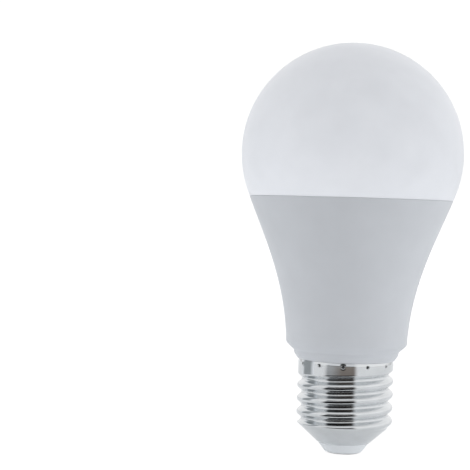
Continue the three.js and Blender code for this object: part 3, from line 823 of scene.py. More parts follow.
@dataclass
class Housing:
    """The flared plastic body, from the seam under the globe down to the neck in the screw cap."""

    seam: float = field(default_factory=lambda: top_of("housing"))
    seam_radius: float = field(default_factory=lambda: radius_of("housing"))
    neck_foot: float = field(default_factory=lambda: foot_of("housing"))
    cap_rim: float = field(default_factory=lambda: top_of("screw_shell"))
    foot_radius: float = 16.57
    foot: float = 31.0
    foot_handle: tuple[float, float] = (0.7, 16.25)
    seam_handle: tuple[float, float] = (-3.2, -8.6)
    wall: float = 1.2
    seat_radius: float = 25.65
    seat: float = 66.4
    neck_radius: float = 11.6
    shoulder_radius: float = 12.5
    bore_radius: float = 10.3
    bore_top: float = 27.0
    neck_step: tuple[float, float] = (23.6, 23.9)
    lip_radius: float = 13.28
    lip_lap: float = 0.12
    slope_corners: tuple[tuple[float, float], ...] = ((14.16, 26.95), (14.4, 28.0))
    slope_top: float = 29.97
    flare_from: float = 32.4
    colour: Colour = (0.665, 0.69, 0.73)

    def flare(self, inset: float, steps: int) -> np.ndarray:
        """Draws the flare from foot to seam.

        Args:
            inset: distance that the curve is moved in, square to itself.
            steps: pieces in the curve.

        Returns:
            Array of (radius, height) points.
        """
        foot = np.array([self.foot_radius, self.foot])
        seam = np.array([self.seam_radius, self.seam])
        handles = [foot, foot + self.foot_handle, seam + self.seam_handle, seam]
        curve, tangent = bezier(np.array(handles), steps)
        return curve + inset * np.stack([-tangent[:, 1], tangent[:, 0]], axis=-1)

    def profile(self) -> np.ndarray:
        """Draws the section of the housing: neck, lip, sloping foot, flare, seat and inner wall.

        Returns:
            Array of (radius, height) points, anticlockwise round the wall.
        """
        lip = self.cap_rim - self.lip_lap
        lower = fillet(
            np.array([
                (self.bore_radius, self.neck_foot),
                (self.neck_radius, self.neck_foot),
                (self.neck_radius, self.neck_step[0]),
                (self.shoulder_radius, self.neck_step[1]),
                (self.shoulder_radius, lip),
                (self.lip_radius, lip),
                *self.slope_corners,
                (self.foot_radius, self.slope_top),
                (self.foot_radius + 0.02, self.flare_from - 0.2),
            ]),
            np.array([0, 0.2, 0, 0, 0, 0.12, 0.5, 0.45, 1.7, 0]),
            closed=False,
        )
        outer = self.flare(0, 56)
        outer = outer[outer[:, 1] > self.flare_from]
        inner = self.flare(self.wall, 30)[::-1]
        inner = inner[(inner[:, 1] < self.seat - 0.3) & (inner[:, 1] > self.foot + 1)]
        seat = [(self.seat_radius, self.seam), (self.seat_radius, self.seat)]
        top = fillet(np.array([*outer[-2:], *seat, inner[0]]), np.array([0, 0.14, 0.1, 0, 0]), closed=False)
        bore = np.array([(13.1, 28.7), (self.bore_radius, self.bore_top)])
        return np.concatenate([lower, outer[:-2], top, inner[1:], bore])

    def build(self) -> None:
        """Makes the housing."""
        body = skin("body_shell", turned(self.profile()), ring=True)
        shell = MouldedPlastic(self.colour, roughness=0.5, grain_mm=0.2, grain_depth_mm=0.005, glow=0.05)
        place(body, "housing", shell.material("housing_plastic"))


@dataclass
class ScrewCap:
    """The E27 cap: rolled metal shell with its staking dimples, insulator and centre contact."""

    foot: float = field(default_factory=lambda: foot_of("screw_shell"))
    rim: float = field(default_factory=lambda: top_of("screw_shell") - 0.22)
    pitch: float = 3.629
    crest: float = 13.14
    crest_round: float = 1.0
    root_round: float = 0.62
    flank_deg: float = 49.0
    last_root: float = 21.82
    skirt: float = 13.0
    skirt_round: float = 0.3
    roll_start: float = 24.85
    roll_deg: float = 6.0
    barrelling: float = 0.035
    runout_deg: tuple[float, float] = (15.0, 150.0)
    wall: float = 0.25
    taper_line: tuple[float, float] = (8.15, 13.1)
    taper_slope: float = 1.12
    taper_blend: float = 0.22
    stakes: int = 12
    stake_deg: float = -92.8
    stake_height: float = 24.6
    stake_radius: float = 0.5
    stake_depth: float = 0.42
    stake_lip: float = 0.035
    taper_end: float = 6.9
    crown_from: float = 23.4
    edge_from: float = 25.5
    nickel: Colour = (0.69, 0.71, 0.725)

    def groove(self, along: np.ndarray) -> np.ndarray:
        """Works out the section of the rolled thread.

        The root is an arc of radius b and the crest one of radius a. Straight flanks that lean by
        the angle T join them, which takes a height of pitch / 2 - (a + b) sin T.

        Args:
            along: distances along the axis from the nearest root.

        Returns:
            The radius at each distance.
        """
        lean = math.radians(self.flank_deg)
        half = self.pitch / 2
        flank = half - (self.crest_round + self.root_round) * math.sin(lean)
        top = self.crest - self.crest_round
        shoulder = top + self.crest_round * math.cos(lean)
        foot = shoulder - flank * math.tan(lean)
        bottom = foot + self.root_round * math.cos(lean)
        start = self.root_round * math.sin(lean)
        in_root = bottom - np.sqrt(np.maximum(self.root_round**2 - along**2, 0))
        on_flank = foot + (along - start) * math.tan(lean)
        on_crest = top + np.sqrt(np.maximum(self.crest_round**2 - (half - along) ** 2, 0))
        return np.where(along < start, in_root, np.where(along < start + flank, on_flank, on_crest))

    def barrel(self, height: np.ndarray, last_root: np.ndarray) -> np.ndarray:
        """Works out the thread below its last root, and the flank and plain skirt above it.

        Args:
            height: heights of the points.
            last_root: height of the uppermost root at each point's angle.

        Returns:
            The radius at each point.
        """
        turns = (height - last_root) / self.pitch
        thread = self.groove(np.abs(turns - np.round(turns)) * self.pitch)
        lean = math.radians(self.flank_deg)
        start = self.root_round * math.sin(lean)
        above = np.maximum(height - last_root, 0)
        rising = np.where(above < start, self.groove(np.minimum(above, start)), 0)
        foot = self.groove(np.array(start))
        rising = np.where(above < start, rising, foot + (above - start) * math.tan(lean))
        return np.where(height < last_root, thread, smooth_least(rising, self.skirt, self.skirt_round))

    def outside(self, angle: np.ndarray, height: np.ndarray) -> np.ndarray:
        """Outer radius of the shell: thread, skirt with its dimples, and taper.

        The groove climbs one pitch in each turn. Past the front it fades out into the skirt, so
        the radius is blended there with that of a thread that ends one turn lower.

        Args:
            angle: angles of the columns.
            height: heights of the rows.

        Returns:
            The radius at each row and column.
        """
        wrapped = (angle + np.pi) % (2 * np.pi) - np.pi
        last = self.last_root + self.pitch * wrapped / (2 * np.pi)
        start, end = np.radians(self.runout_deg)
        fade = np.clip((wrapped - start) / (end - start), 0, 1)
        fade = fade * fade * (3 - 2 * fade)
        barrel = self.barrel(height, last) * (1 - fade) + self.barrel(height, last - self.pitch) * fade
        taper = self.taper_line[1] + (height - self.taper_line[0]) * self.taper_slope
        body = smooth_least(barrel, taper, self.taper_blend) + self.staking(angle, height)
        rolled = np.maximum(height - self.roll_start, 0) * math.tan(math.radians(self.roll_deg))
        middle = (self.roll_start + self.last_root) / 2
        bulge = np.clip((height - middle) / (self.roll_start - middle), 0, 1.5) ** 2
        return body - rolled - self.barrelling * bulge

    def staking(self, angle: np.ndarray, height: np.ndarray) -> np.ndarray:
        """Relief of the punched dimples: a pit (1 - (d / r)^3)^2 deep, and a low raised lip.

        Args:
            angle: angles of the columns.
            height: heights of the rows.

        Returns:
            The relief in millimetres at each row and column, below 0 in the pit.
        """
        distance = self.from_stake(angle, height)
        pit = np.clip(1 - (distance / self.stake_radius) ** 3, 0, 1) ** 2
        lip = np.exp(-(((distance - self.stake_radius - 0.1) / 0.16) ** 2))
        return self.stake_lip * lip - self.stake_depth * pit

    def from_stake(self, angle: np.ndarray, height: np.ndarray) -> np.ndarray:
        """Measures over the skirt to the middle of the nearest dimple.

        Args:
            angle: angles of the columns.
            height: heights of the rows.

        Returns:
            The distance in millimetres at each row and column.
        """
        step = 2 * np.pi / self.stakes
        offset = (angle - math.radians(self.stake_deg) + step / 2) % step - step / 2
        return np.hypot(offset * self.skirt, height - self.stake_height)

    def columns(self) -> np.ndarray:
        """Spaces the columns close together across each dimple and wide between them.

        Returns:
            The angle of each column.
        """
        step = 2 * np.pi / self.stakes
        reach = 0.85 / self.skirt
        fine = np.linspace(-reach, reach, 14, endpoint=False)
        coarse = np.linspace(reach, step - reach, 7, endpoint=False)
        cell = np.concatenate([fine, coarse])
        starts = math.radians(self.stake_deg) + step * np.arange(self.stakes)
        return (starts[:, None] + cell[None, :]).ravel()

    def build_shell(self) -> None:
        """Makes the rolled shell, outside and inside."""
        angle = self.columns()[None, :]
        heights = np.concatenate([
            np.linspace(self.foot, self.taper_end, 6, endpoint=False),
            np.linspace(self.taper_end, self.crown_from, 264, endpoint=False),
            np.linspace(self.crown_from, self.edge_from, 28, endpoint=False),
            np.linspace(self.edge_from, self.rim, 3),
        ])[:, None]
        outer = self.outside(angle, heights)
        inner_heights = np.concatenate([heights[:0:-6], heights[:1]])
        step = 0.04
        rise = self.outside(angle, inner_heights + step) - self.outside(angle, inner_heights - step)
        slope = np.clip(rise / (2 * step), -1.5, 1.5)
        inner = self.outside(angle, inner_heights) - self.wall * np.sqrt(1 + slope**2)
        radius = np.concatenate([outer, inner])
        z = np.concatenate([heights, inner_heights]) + 0 * angle
        rows = np.stack([radius * np.cos(angle), radius * np.sin(angle), z], axis=-1)
        # Painted shade: a mark that is 1 in the middle of each dimple on the outside and falls to 0 at its
        # edge, which the material turns near black.
        painted_pit_shade = np.clip(1 - self.from_stake(angle, z) / (0.8 * self.stake_radius), 0, 1) ** 0.5
        painted_pit_shade *= np.concatenate([1 + 0 * heights, 0 * inner_heights])
        shell = skin("screw_shell_rolled", rows, ring=True, marks=(painted_pit_shade,))
        nickel = PlatedMetal(self.nickel, roughness=0.06, haze=0.04, wave_depth_mm=0.003, painted_pit_shade=True)
        place(shell, "screw_shell", nickel.material("nickel_plate"))

    def build_insulator(self) -> None:
        """Makes the insulator: the cone below the shell and the cup inside it."""
        corners = np.array([
            (1.4, 0.65), (4.8, 0.65), (4.8, 0.3), (5.02, 0.3), (6.95, 2.72), (6.95, self.foot),
            (11.4, 7.35), (11.4, 8.9), (10.2, 8.9), (10.2, 7.8), (6.6, 4.2), (1.4, 4.2),
        ])
        radii = np.array([0, 0, 0.05, 0.5, 0.1, 0, 0.4, 0.3, 0.3, 0.5, 0.8, 0.2])
        piece = skin("insulator_cone", turned(fillet(corners, radii), 144), ring=True)
        white = MouldedPlastic((0.86, 0.89, 0.92), 0.35, grain_mm=0.3, grain_depth_mm=0.003, glow=0.1)
        place(piece, "insulator", white.material("insulator_plastic"))

    def build_contact(self) -> None:
        """Makes the contact: a domed rivet head with a rolled edge and a shallow centre dimple."""
        corners = np.array([
            (0, 0.08), (0.9, 0.08), (1.3, 0.0), (4.3, 0.0), (4.7, 0.2), (4.7, 0.55),
            (1.25, 0.55), (1.25, 8.0), (0, 8.0),
        ])
        radii = np.array([0, 0.5, 0.5, 0.5, 0.3, 0.15, 0.1, 0.25, 0])
        piece = skin("contact_rivet", turned(fillet(corners, radii, closed=False), 96))
        tin = PlatedMetal((0.72, 0.72, 0.71), roughness=0.22, haze=0.12, wave_depth_mm=0.006)
        place(piece, "centre_contact", tin.material("contact_tin"))

    def build(self) -> None:
        """Makes the three pieces of the cap."""
        self.build_shell()
        self.build_insulator()
        self.build_contact()


# ---- Studio ------------------------------------------------------------------------------------


class SeenBy(Enum):
    """What sees a piece of the stage: each option lists the kinds of ray that pass it by."""

    CAMERA = ("diffuse", "glossy", "transmission", "volume_scatter", "shadow")
    REFLECTIONS = ("camera", "diffuse", "shadow")
    SURFACES = ("camera", "shadow")
    ALL_BUT_CAMERA = ("camera",)

    def show(self, piece: bpy.types.Object) -> None:
        """Hides a piece of the stage from the rays of this option.

        Args:
            piece: the piece of the stage.
        """
        for kind in self.value:
            setattr(piece, "visible_" + kind, False)


@dataclass
class Studio:
    """Camera, soft surrounding light and the plain pale floor.

    Sizes here are in metres. An azimuth is measured from straight in front of the lamp towards +X,
    and a rise from the floor up.
    """

    distance: float = 0.3996
    height: float = 0.0656
    yaw_deg: float = 4.507
    pitch_deg: float = 1.0
    roll_deg: float = 1.734
    lens_mm: float = 111.44
    backdrop_radius: float = 3.0
    floor_reach: float = 2.9
    floor_drop: float = 0.00005
    table_reach: float = 1.5
    table_edge: float = 0.11
    table_drop: float = 0.0001
    table_glow: float = 0.18
    opening_deg: tuple[float, float] = (-46.0, 24.0)
    opening_top_deg: float = 32.0
    opening_away: float = 1.45
    slit_deg: tuple[float, float] = (9.0, 15.0)
    room_deg: tuple[float, float] = (-40.0, -5.0)
    room_grey: Colour = (0.42, 0.43, 0.44)
    room_brown: Colour = (0.24, 0.21, 0.19)
    black: Colour = (0.006, 0.006, 0.007)
    soft_edge_deg: float = 12.0
    apron_edge: float = 0.027
    apron_dark_to: tuple[float, float] = (0.08, 0.24)
    card_deg: tuple[float, float] = (-120.0, -76.0)
    card_away: float = 0.09
    card_top: float = 0.115
    card_edge: float = 0.24
    horizon: float = 0.5
    tent: float = 1.03
    zenith: float = 0.7
    right_gain: float = 0.04
    fill: float = 0.75
    fill_from_deg: tuple[float, float] = (-25.0, -40.0)
    fill_spread_deg: float = 60.0

    def build_camera(self) -> None:
        """Places the camera in front of the lamp, turned so that the lamp stands right of centre."""
        data = bpy.data.cameras.new("camera")
        data.lens = self.lens_mm
        data.sensor_width = 36.0
        data.clip_start = 0.01
        data.clip_end = 50.0
        camera = bpy.data.objects.new("camera", data)
        turn = Matrix.Rotation(math.radians(self.yaw_deg), 4, "Z")
        tilt = Matrix.Rotation(math.radians(90 - self.pitch_deg), 4, "X")
        roll = Matrix.Rotation(math.radians(self.roll_deg), 4, "Z")
        camera.matrix_world = Matrix.Translation((0, -self.distance, self.height)) @ turn @ tilt @ roll
        bpy.context.scene.collection.objects.link(camera)
        bpy.context.scene.camera = camera

    def build_backdrop(self) -> None:
        """A white backdrop all round that only the camera sees."""
        angle = np.radians(np.linspace(90, -90, 25))
        rows = turned(self.backdrop_radius / MM * np.stack([np.cos(angle), np.sin(angle)], axis=-1), 48)
        rows[0, :, :2] = rows[-1, :, :2] = 0
        backdrop = skin("backdrop", rows)
        dress(backdrop, Sheet("backdrop_white").glow((1, 1, 1), 1.05))
        SeenBy.CAMERA.show(backdrop)

    @staticmethod
    def panel(name: str, corners: list, material: bpy.types.Material, seen_by: SeenBy) -> None:
        """Stands or lays a flat panel on the stage.

        Args:
            name: name of the panel.
            corners: its four corners, as (x, y, z) in metres.
            material: its material.
            seen_by: what sees it.
        """
        mesh = bpy.data.meshes.new(name)
        mesh.from_pydata(corners, [], [(0, 1, 2, 3)])
        panel = bpy.data.objects.new(name, mesh)
        bpy.context.scene.collection.objects.link(panel)
        dress(panel, material)
        seen_by.show(panel)

    def build_floor(self) -> None:
        """The pale floor that is seen, and the table under it that throws light back up."""
        seen = Sheet("floor_white").surface(
            Base_Color=(0.2, 0.2, 0.2), Roughness=1.0, Emission_Color=(1, 1, 1), Emission_Strength=0.88
        )
        far, z = self.floor_reach, -self.floor_drop
        square = [(-far, -far, z), (far, -far, z), (far, far, z), (-far, far, z)]
        self.panel("floor", square, seen, SeenBy.CAMERA)
        pale = Sheet("table_top").surface(
            Base_Color=(0.82, 0.83, 0.84), Roughness=1.0,
            Emission_Color=(1, 1, 1), Emission_Strength=self.table_glow,
        )
        near, far, z = self.table_edge, self.table_reach, -self.table_drop
        left, right = np.tan(np.radians(self.opening_deg))
        for number, corners in enumerate((
            [(-far, -near), (far, -near), (far, far), (-far, far)],
            [(-far, -far), (far * left, -far), (near * left, -near), (-far, -near)],
            [(far * right, -far), (far, -far), (far, -near), (near * right, -near)],
        )):
            corners = [(x, y, z) for x, y in corners]
            self.panel(f"table_{number}", corners, pale, SeenBy.ALL_BUT_CAMERA)

    def opening(self) -> tuple[float, float]:
        """Finds the azimuths where the opening's soft edges end.

        Returns:
            The left and right azimuths in radians.
        """
        low, high = np.radians(self.opening_deg)
        spread = math.radians(self.soft_edge_deg) / 2
        return low - spread, high + spread

    def within(self, sheet: Sheet, around: bpy.types.NodeSocket) -> bpy.types.NodeSocket:
        """1 where an azimuth is inside the opening and 0 outside it, with soft edges."""
        low, high = (math.radians(deg) for deg in self.opening_deg)
        return sheet.window(around, low, high, math.radians(self.soft_edge_deg))

    def room(self, sheet: Sheet, around: bpy.types.NodeSocket) -> bpy.types.NodeSocket:
        """Colour of the dim room in front of the tent, grey at the left and brown at the right."""
        share = sheet.step(around, *(math.radians(deg) for deg in self.room_deg))
        return sheet.blend(share, self.room_grey, self.room_brown)

    def build_apron(self) -> None:
        """A dark wedge of floor in front, black near the lamp, which only shiny surfaces see."""
        sheet = Sheet("dark_apron")
        around, reach, _ = sheet.bearings(sheet.where())
        floor = sheet.blend(sheet.step(reach, *self.apron_dark_to), self.black, self.room(sheet, around))
        dark = sheet.glow(sheet.blend(self.within(sheet, around), (0.85, 0.85, 0.86), floor))
        left, right = self.opening()
        near, far = self.apron_edge, self.table_reach
        corners = [
            (reach * math.sin(turn), -reach * math.cos(turn), 0.0)
            for reach, turn in ((far, left), (far, right), (near, right), (near, left))
        ]
        self.panel("dark_apron", corners, dark, SeenBy.REFLECTIONS)

    def build_opening(self) -> None:
        """The open front of the tent: a screen far off, which the camera doesn't see.

        The dim room shows up to the horizon, then a dark wall with a bright slit across it.
        """
        sheet = Sheet("open_front")
        rad = math.radians
        around, _, rise = sheet.bearings(sheet.where())
        wall = sheet.blend(sheet.step(rise, rad(1), rad(4)), self.room(sheet, around), self.black)
        slit = sheet.window(rise, *(rad(deg) for deg in self.slit_deg), rad(2))
        wall = sheet.blend(slit, wall, (0.85, 0.86, 0.88))
        top = rad(self.opening_top_deg)
        below = sheet.step(rise, top - rad(4), top, 1.0, 0.0)
        inside = sheet.math("MULTIPLY", self.within(sheet, around), below)
        away = self.opening_away
        left, right = (away * math.tan(turn) for turn in self.opening())
        up = math.hypot(away, left) * math.tan(top)
        corners = [(left, -away, 0), (right, -away, 0), (right, -away, up), (left, -away, up)]
        self.panel("open_front", corners, sheet.glow(sheet.blend(inside, (1, 1, 1), wall)), SeenBy.SURFACES)

    def build_card(self) -> None:
        """A grey card standing at the left, which only shiny surfaces see."""
        sheet = Sheet("grey_card")
        around, _, _ = sheet.bearings(sheet.where())
        left, right = (math.radians(deg) for deg in self.card_deg)
        shown = sheet.window(around, left + self.card_edge / 2, right - self.card_edge / 2, self.card_edge)
        grey = sheet.glow(sheet.blend(shown, (0.95, 0.97, 1), (0.37, 0.39, 0.4)))
        corners = [
            (self.card_away * math.sin(turn), -self.card_away * math.cos(turn), z)
            for turn, z in ((left, 0), (right, 0), (right, self.card_top), (left, self.card_top))
        ]
        self.panel("grey_card", corners, grey, SeenBy.REFLECTIONS)

    def build_fill(self, globe: bpy.types.Object) -> None:
        """A soft fill from low in front that lights only the globe, as light inside it would.

        Args:
            globe: the globe.
        """
        around, rise = (math.radians(deg) for deg in self.fill_from_deg)
        data = bpy.data.lights.new("globe_fill", "SUN")
        data.energy = self.fill
        data.angle = math.radians(self.fill_spread_deg)
        lamp = bpy.data.objects.new("globe_fill", data)
        ahead = Vector((math.sin(around), -math.cos(around), 0)) * math.cos(rise)
        towards = ahead + Vector((0, 0, math.sin(rise)))
        lamp.rotation_mode = "QUATERNION"
        lamp.rotation_quaternion = towards.to_track_quat("Z", "Y")
        bpy.context.scene.collection.objects.link(lamp)
        lit = bpy.data.collections.new("globe_fill_reaches")
        lit.objects.link(globe)
        lamp.light_linking.receiver_collection = lit
        lamp.light_linking.blocker_collection = lit

    def build_light(self) -> None:
        """Surrounding light: an even tent over a greyer horizon, a little brighter at the right."""
        world = bpy.data.worlds.new("tent")
        bpy.context.scene.world = world
        world.use_nodes = True
        graph = Graph(world.node_tree)
        around, _, rise = graph.bearings(graph.node("TexCoord").outputs["Generated"])
        rad = math.radians
        tent = graph.step(rise, rad(-3), rad(5), self.horizon, self.tent)
        tent = graph.math("MULTIPLY", tent, graph.step(rise, rad(20), rad(75), 1.0, self.zenith))
        side = graph.math("MULTIPLY", graph.math("SINE", around), self.right_gain)
        tent = graph.math("MULTIPLY", tent, graph.math("ADD", 1.0, side))
        white = graph.node("CombineColor", {"Red": tent, "Green": tent, "Blue": tent}).outputs["Color"]
        background = graph.node("Background", {"Strength": 1.0, "Color": white})
        output = graph.node("OutputWorld")
        graph.feed(output.inputs["Surface"], background.outputs["Background"])

    def build(self, globe: bpy.types.Object) -> None:
        """Sets the whole stage and the picture's plain colour handling.

        Args:
            globe: the globe, which has a light of its own.
        """
        self.build_camera()
        self.build_fill(globe)
        self.build_card()
        self.build_opening()
        self.build_backdrop()
        self.build_floor()
        self.build_apron()
        self.build_light()
        scene = bpy.context.scene
        scene.view_settings.view_transform = "Standard"
        scene.cycles.use_denoising = True
        scene.cycles.max_bounces = 12
        LOG.info("stage: set")


# ---- Electronics -------------------------------------------------------------------------------


@dataclass
class Chip:
    """A moulded chip with two rows of bent leads, lying on the face z = 0 of its own axes."""

    node: str
    size: tuple[float, float, float]
    leads: int
    tip_deg: float
    turn_deg: float
    at: tuple[float, float, float]
    lead_reach: float = 0.9
    lead_foot: float = 0.45
    lead_gauge: float = 0.16
    standoff: float = 0.1
    parting: float = 0.42
    squareness: float = 14
    dot_radius: float = 0.3
    dot_rise: float = 0.005

    def body(self) -> np.ndarray:
        """Shapes the moulded body, which leans in above and below the line where the mould parts.

        Returns:
            Grid of points for skin().
        """
        a, b, height = self.size[0] / 2, self.size[1] / 2, self.size[2]
        lean, n, foot = 0.07 * height, self.squareness, self.standoff
        middle = foot + height * self.parting
        return rounded([
            (0, 0, n, foot), (a - lean, b - lean, n, foot), (a, b, n, middle), (a, b, n, middle + 0.04),
            (a - lean, b - lean, n, height - 0.06), (a - lean - 0.05, b - lean - 0.05, n, height),
            (0, 0, n, height),
        ])

    def dot(self) -> np.ndarray:
        """Shapes the raised round mould mark that shows the first lead.

        Returns:
            Grid of points for skin().
        """
        a, b, height = self.size[0] / 2, self.size[1] / 2, self.size[2]
        r, top = self.dot_radius, height + self.dot_rise
        shape = rounded([(0, 0, 2, height), (r, r, 2, height), (r, r, 2, top), (0, 0, 2, top)], 20)
        return shape + (0.7 - a, b - 0.8, 0)

    def lead_rows(self) -> list[np.ndarray]:
        """Bends every lead: a flat strip from the body's side, down to the board and along it.

        Returns:
            One grid of points for each lead.
        """
        a, length, height = self.size[0] / 2, self.size[1], self.size[2]
        pitch = length / self.leads
        strip = oblong(self.lead_gauge / 2, pitch / 5)
        foot, middle, end = self.lead_gauge / 2, self.standoff + height * self.parting, a + self.lead_reach
        out = [
            (a - 0.15, middle), (a + 0.12, middle), (a + 0.24, height * 0.38),
            (end - self.lead_foot - 0.1, foot + 0.05), (end - self.lead_foot, foot), (end, foot),
        ]
        made = []
        for side in (1, -1):
            for number in range(self.leads):
                y = (number + 0.5) * pitch - length / 2
                path = np.array([(side * x, y, z) for x, z in out])
                made.append(carried(path, strip, (0, 1, 0)))
        return made

    def build(self, material: bpy.types.Material) -> None:
        """Makes the chip in its place.

        Args:
            material: its material, with the leads as the inlay.
        """
        turn = rotation(self.turn_deg, "Z") @ rotation(self.tip_deg, "X")
        leads = self.lead_rows()
        grids = [grid @ turn.T + np.array(self.at) for grid in (self.body(), self.dot(), *leads)]
        piece = skin(self.node + "_moulded", *grids, marks=(0.0, 0.0) + (1.0,) * len(leads))
        place(piece, self.node, material)


@dataclass
class LedStack:
    """The round LED board with its LEDs, driver chip and screws, on the pad and the heat sink."""

    board_top: float = field(default_factory=lambda: top_of("led_board") + SOLDER)
    white_ring: float = 19.5
    colour_ring: float = 12.0
    leds_in_ring: int = 6
    white_size: tuple[float, float, float] = (1.4, 1.75, 0.7)
    white_window: float = 1.1
    colour_size: tuple[float, float, float] = (2.5, 2.5, 1.5)
    colour_window: float = 1.95
    screw_x: float = 15.6

    def package(self, size: tuple[float, float, float], window: float, sharp: float) -> tuple:
        """Shapes an LED package: a moulded frame with a sunk window of phosphor or clear resin.

        Args:
            size: half width, half length and whole height.
            window: half width of the window across the narrower way.
            sharp: how square the window is, 2 for a round one.

        Returns:
            The grid and its marks, 1 inside the window.
        """
        a, b, height = size
        wide = b - (a - window)
        z = self.board_top
        top = z + height
        frame_rows = [
            (0, 0, 12, z), (a, b, 12, z), (a, b, 12, top - 0.08), (a - 0.06, b - 0.06, 12, top),
            (window + 0.04, wide + 0.04, sharp, top), (window, wide, sharp, top - 0.03),
        ]
        window_rows = [
            (window - 0.08, wide - 0.08, sharp, top - 0.14), (window * 0.75, wide * 0.75, sharp, top - 0.1),
            (window * 0.4, wide * 0.4, 2, top - 0.06), (0, 0, 2, top - 0.05),
        ]
        grid = rounded(frame_rows + window_rows)
        inside = np.arange(len(grid)) >= len(frame_rows)
        marks = np.repeat(inside[:, None], grid.shape[1], axis=1)
        return grid, marks.astype(float)

    def ring(
        self, name: str, slot: str, radius: float, first_deg: float, shape: tuple, lens: Inlaid
    ) -> None:
        """Sets the LEDs of one kind at even angles round the board.

        Args:
            name: name of the CAD nodes, without their numbers.
            slot: not used.
            radius: radius of the ring in millimetres.
            first_deg: angle of the first LED.
            shape: grid and marks of one LED at the axis.
            lens: finish of the frame and the window.
        """
        grid, marks = shape
        material = lens.material(name)
        for number in range(self.leds_in_ring):
            turn = rotation(first_deg + 360 / self.leds_in_ring * number, "Z")
            piece = skin(f"{name}_package_{number + 1}", (grid + (radius, 0, 0)) @ turn.T, marks=(marks,))
            place(piece, f"{name}_{number + 1}", material)

    def screw(self, number: int, x: float, material: bpy.types.Material) -> None:
        """Makes a pan-head screw, with its cross recess sunk where either |x| or |y| is small.

        Args:
            number: number of its CAD node.
            x: place of its axis across the board in millimetres.
            material: its material.
        """
        seat = self.board_top
        foot = foot_of(f"board_screw_{number}")
        shank = [(0.0, foot), (0.5, foot), (1.2, foot + 0.7)]
        thread = [(1.2 - 0.22 * (k % 2), z) for k, z in enumerate(np.linspace(foot + 0.9, seat - 0.3, 13))]
        head = [(1.2, seat), (2.0, seat), (2.1, seat + 0.1), (2.1, seat + 0.45), (1.95, seat + 0.75)]
        crown = [(r, seat + 1.3 - 0.3 * (r / 1.7) ** 2) for r in np.linspace(1.7, 0, 22)]
        rows = turned(np.array(shank + thread + head + crown), 72)
        arm = np.minimum(np.abs(rows[..., 0]), np.abs(rows[..., 1]))
        reach = np.hypot(rows[..., 0], rows[..., 1])
        sunk = np.clip((0.3 - arm) / 0.1, 0, 1) * np.clip((1.25 - reach) / 0.25, 0, 1)
        rows[..., 2] -= np.where(rows[..., 2] > seat + 0.9, 0.55 * sunk, 0)
        piece = skin(f"pan_head_screw_{number}", rows + (x, 0, 0), crease_deg=28)
        place(piece, f"board_screw_{number}", material)

    def build(self) -> None:
        """Makes and dresses the stack."""
        white = (0.83, 0.83, 0.82)
        flat = self.package(self.white_size, self.white_window, 8)
        domed = self.package(self.colour_size, self.colour_window, 2)
        cool = Inlaid(white, (0.86, 0.74, 0.16), 0.4, 0.5)
        warm = Inlaid(white, (0.86, 0.44, 0.1), 0.4, 0.5)
        clear = Inlaid(white, (0.62, 0.66, 0.66), 0.4, 0.12)
        self.ring("cool_white_led", "led_cool", self.white_ring, 15, flat, cool)
        self.ring("warm_white_led", "led_warm", self.white_ring, 45, flat, warm)
        self.ring("colour_led", "led_colour", self.colour_ring, 30, domed, clear)
        steel = PlatedMetal((0.62, 0.62, 0.64), roughness=0.25).material("zinc_screw")
        self.screw(1, -self.screw_x, steel)
        self.screw(2, self.screw_x, steel)
        aluminium = PlatedMetal((0.72, 0.73, 0.75), roughness=0.34, haze=0.12, rub_depth_mm=0.004)
        keep("heat_sink", "aluminium_cup", aluminium.material("pressed_aluminium"))
        pad = MouldedPlastic((0.45, 0.5, 0.55), roughness=0.75, grain_depth_mm=0.01, mottle=0.06)
        keep("thermal_pad", "thermal_pad_grey", pad.material("thermal_pad_silicone"))
        board = SolderMask((0.8, 0.8, 0.79), track_gain=1.06, roughness=0.4)
        keep("led_board", "board_white", board.material("white_solder_mask"))


@dataclass
class RadioModule:
    """The upright radio board whose printed aerial stands in the globe."""

    def build(self) -> None:
        """Dresses the radio board and what is on it."""
        mask = SolderMask((0.012, 0.014, 0.018), track_gain=2.6, cell_mm=3.2)
        keep("radio_board", "board_black", mask.material("black_solder_mask"))
        tinned = PlatedMetal((0.68, 0.68, 0.69), roughness=0.28, haze=0.1)
        keep("radio_shield", "steel_plated", tinned.material("tinned_can"))
        gilt = PlatedMetal((0.78, 0.58, 0.28), roughness=0.25, haze=0.1)
        keep("radio_antenna", "copper_track", gilt.material("gilt_track"))
        epoxy = MouldedPlastic((0.025, 0.025, 0.027), roughness=0.5, grain_mm=0.1, mottle=0.15)
        keep("radio_chip", "chip_black", epoxy.material("radio_chip_epoxy"))
        keep("signal_header", "chip_black", epoxy.material("header_nylon"))


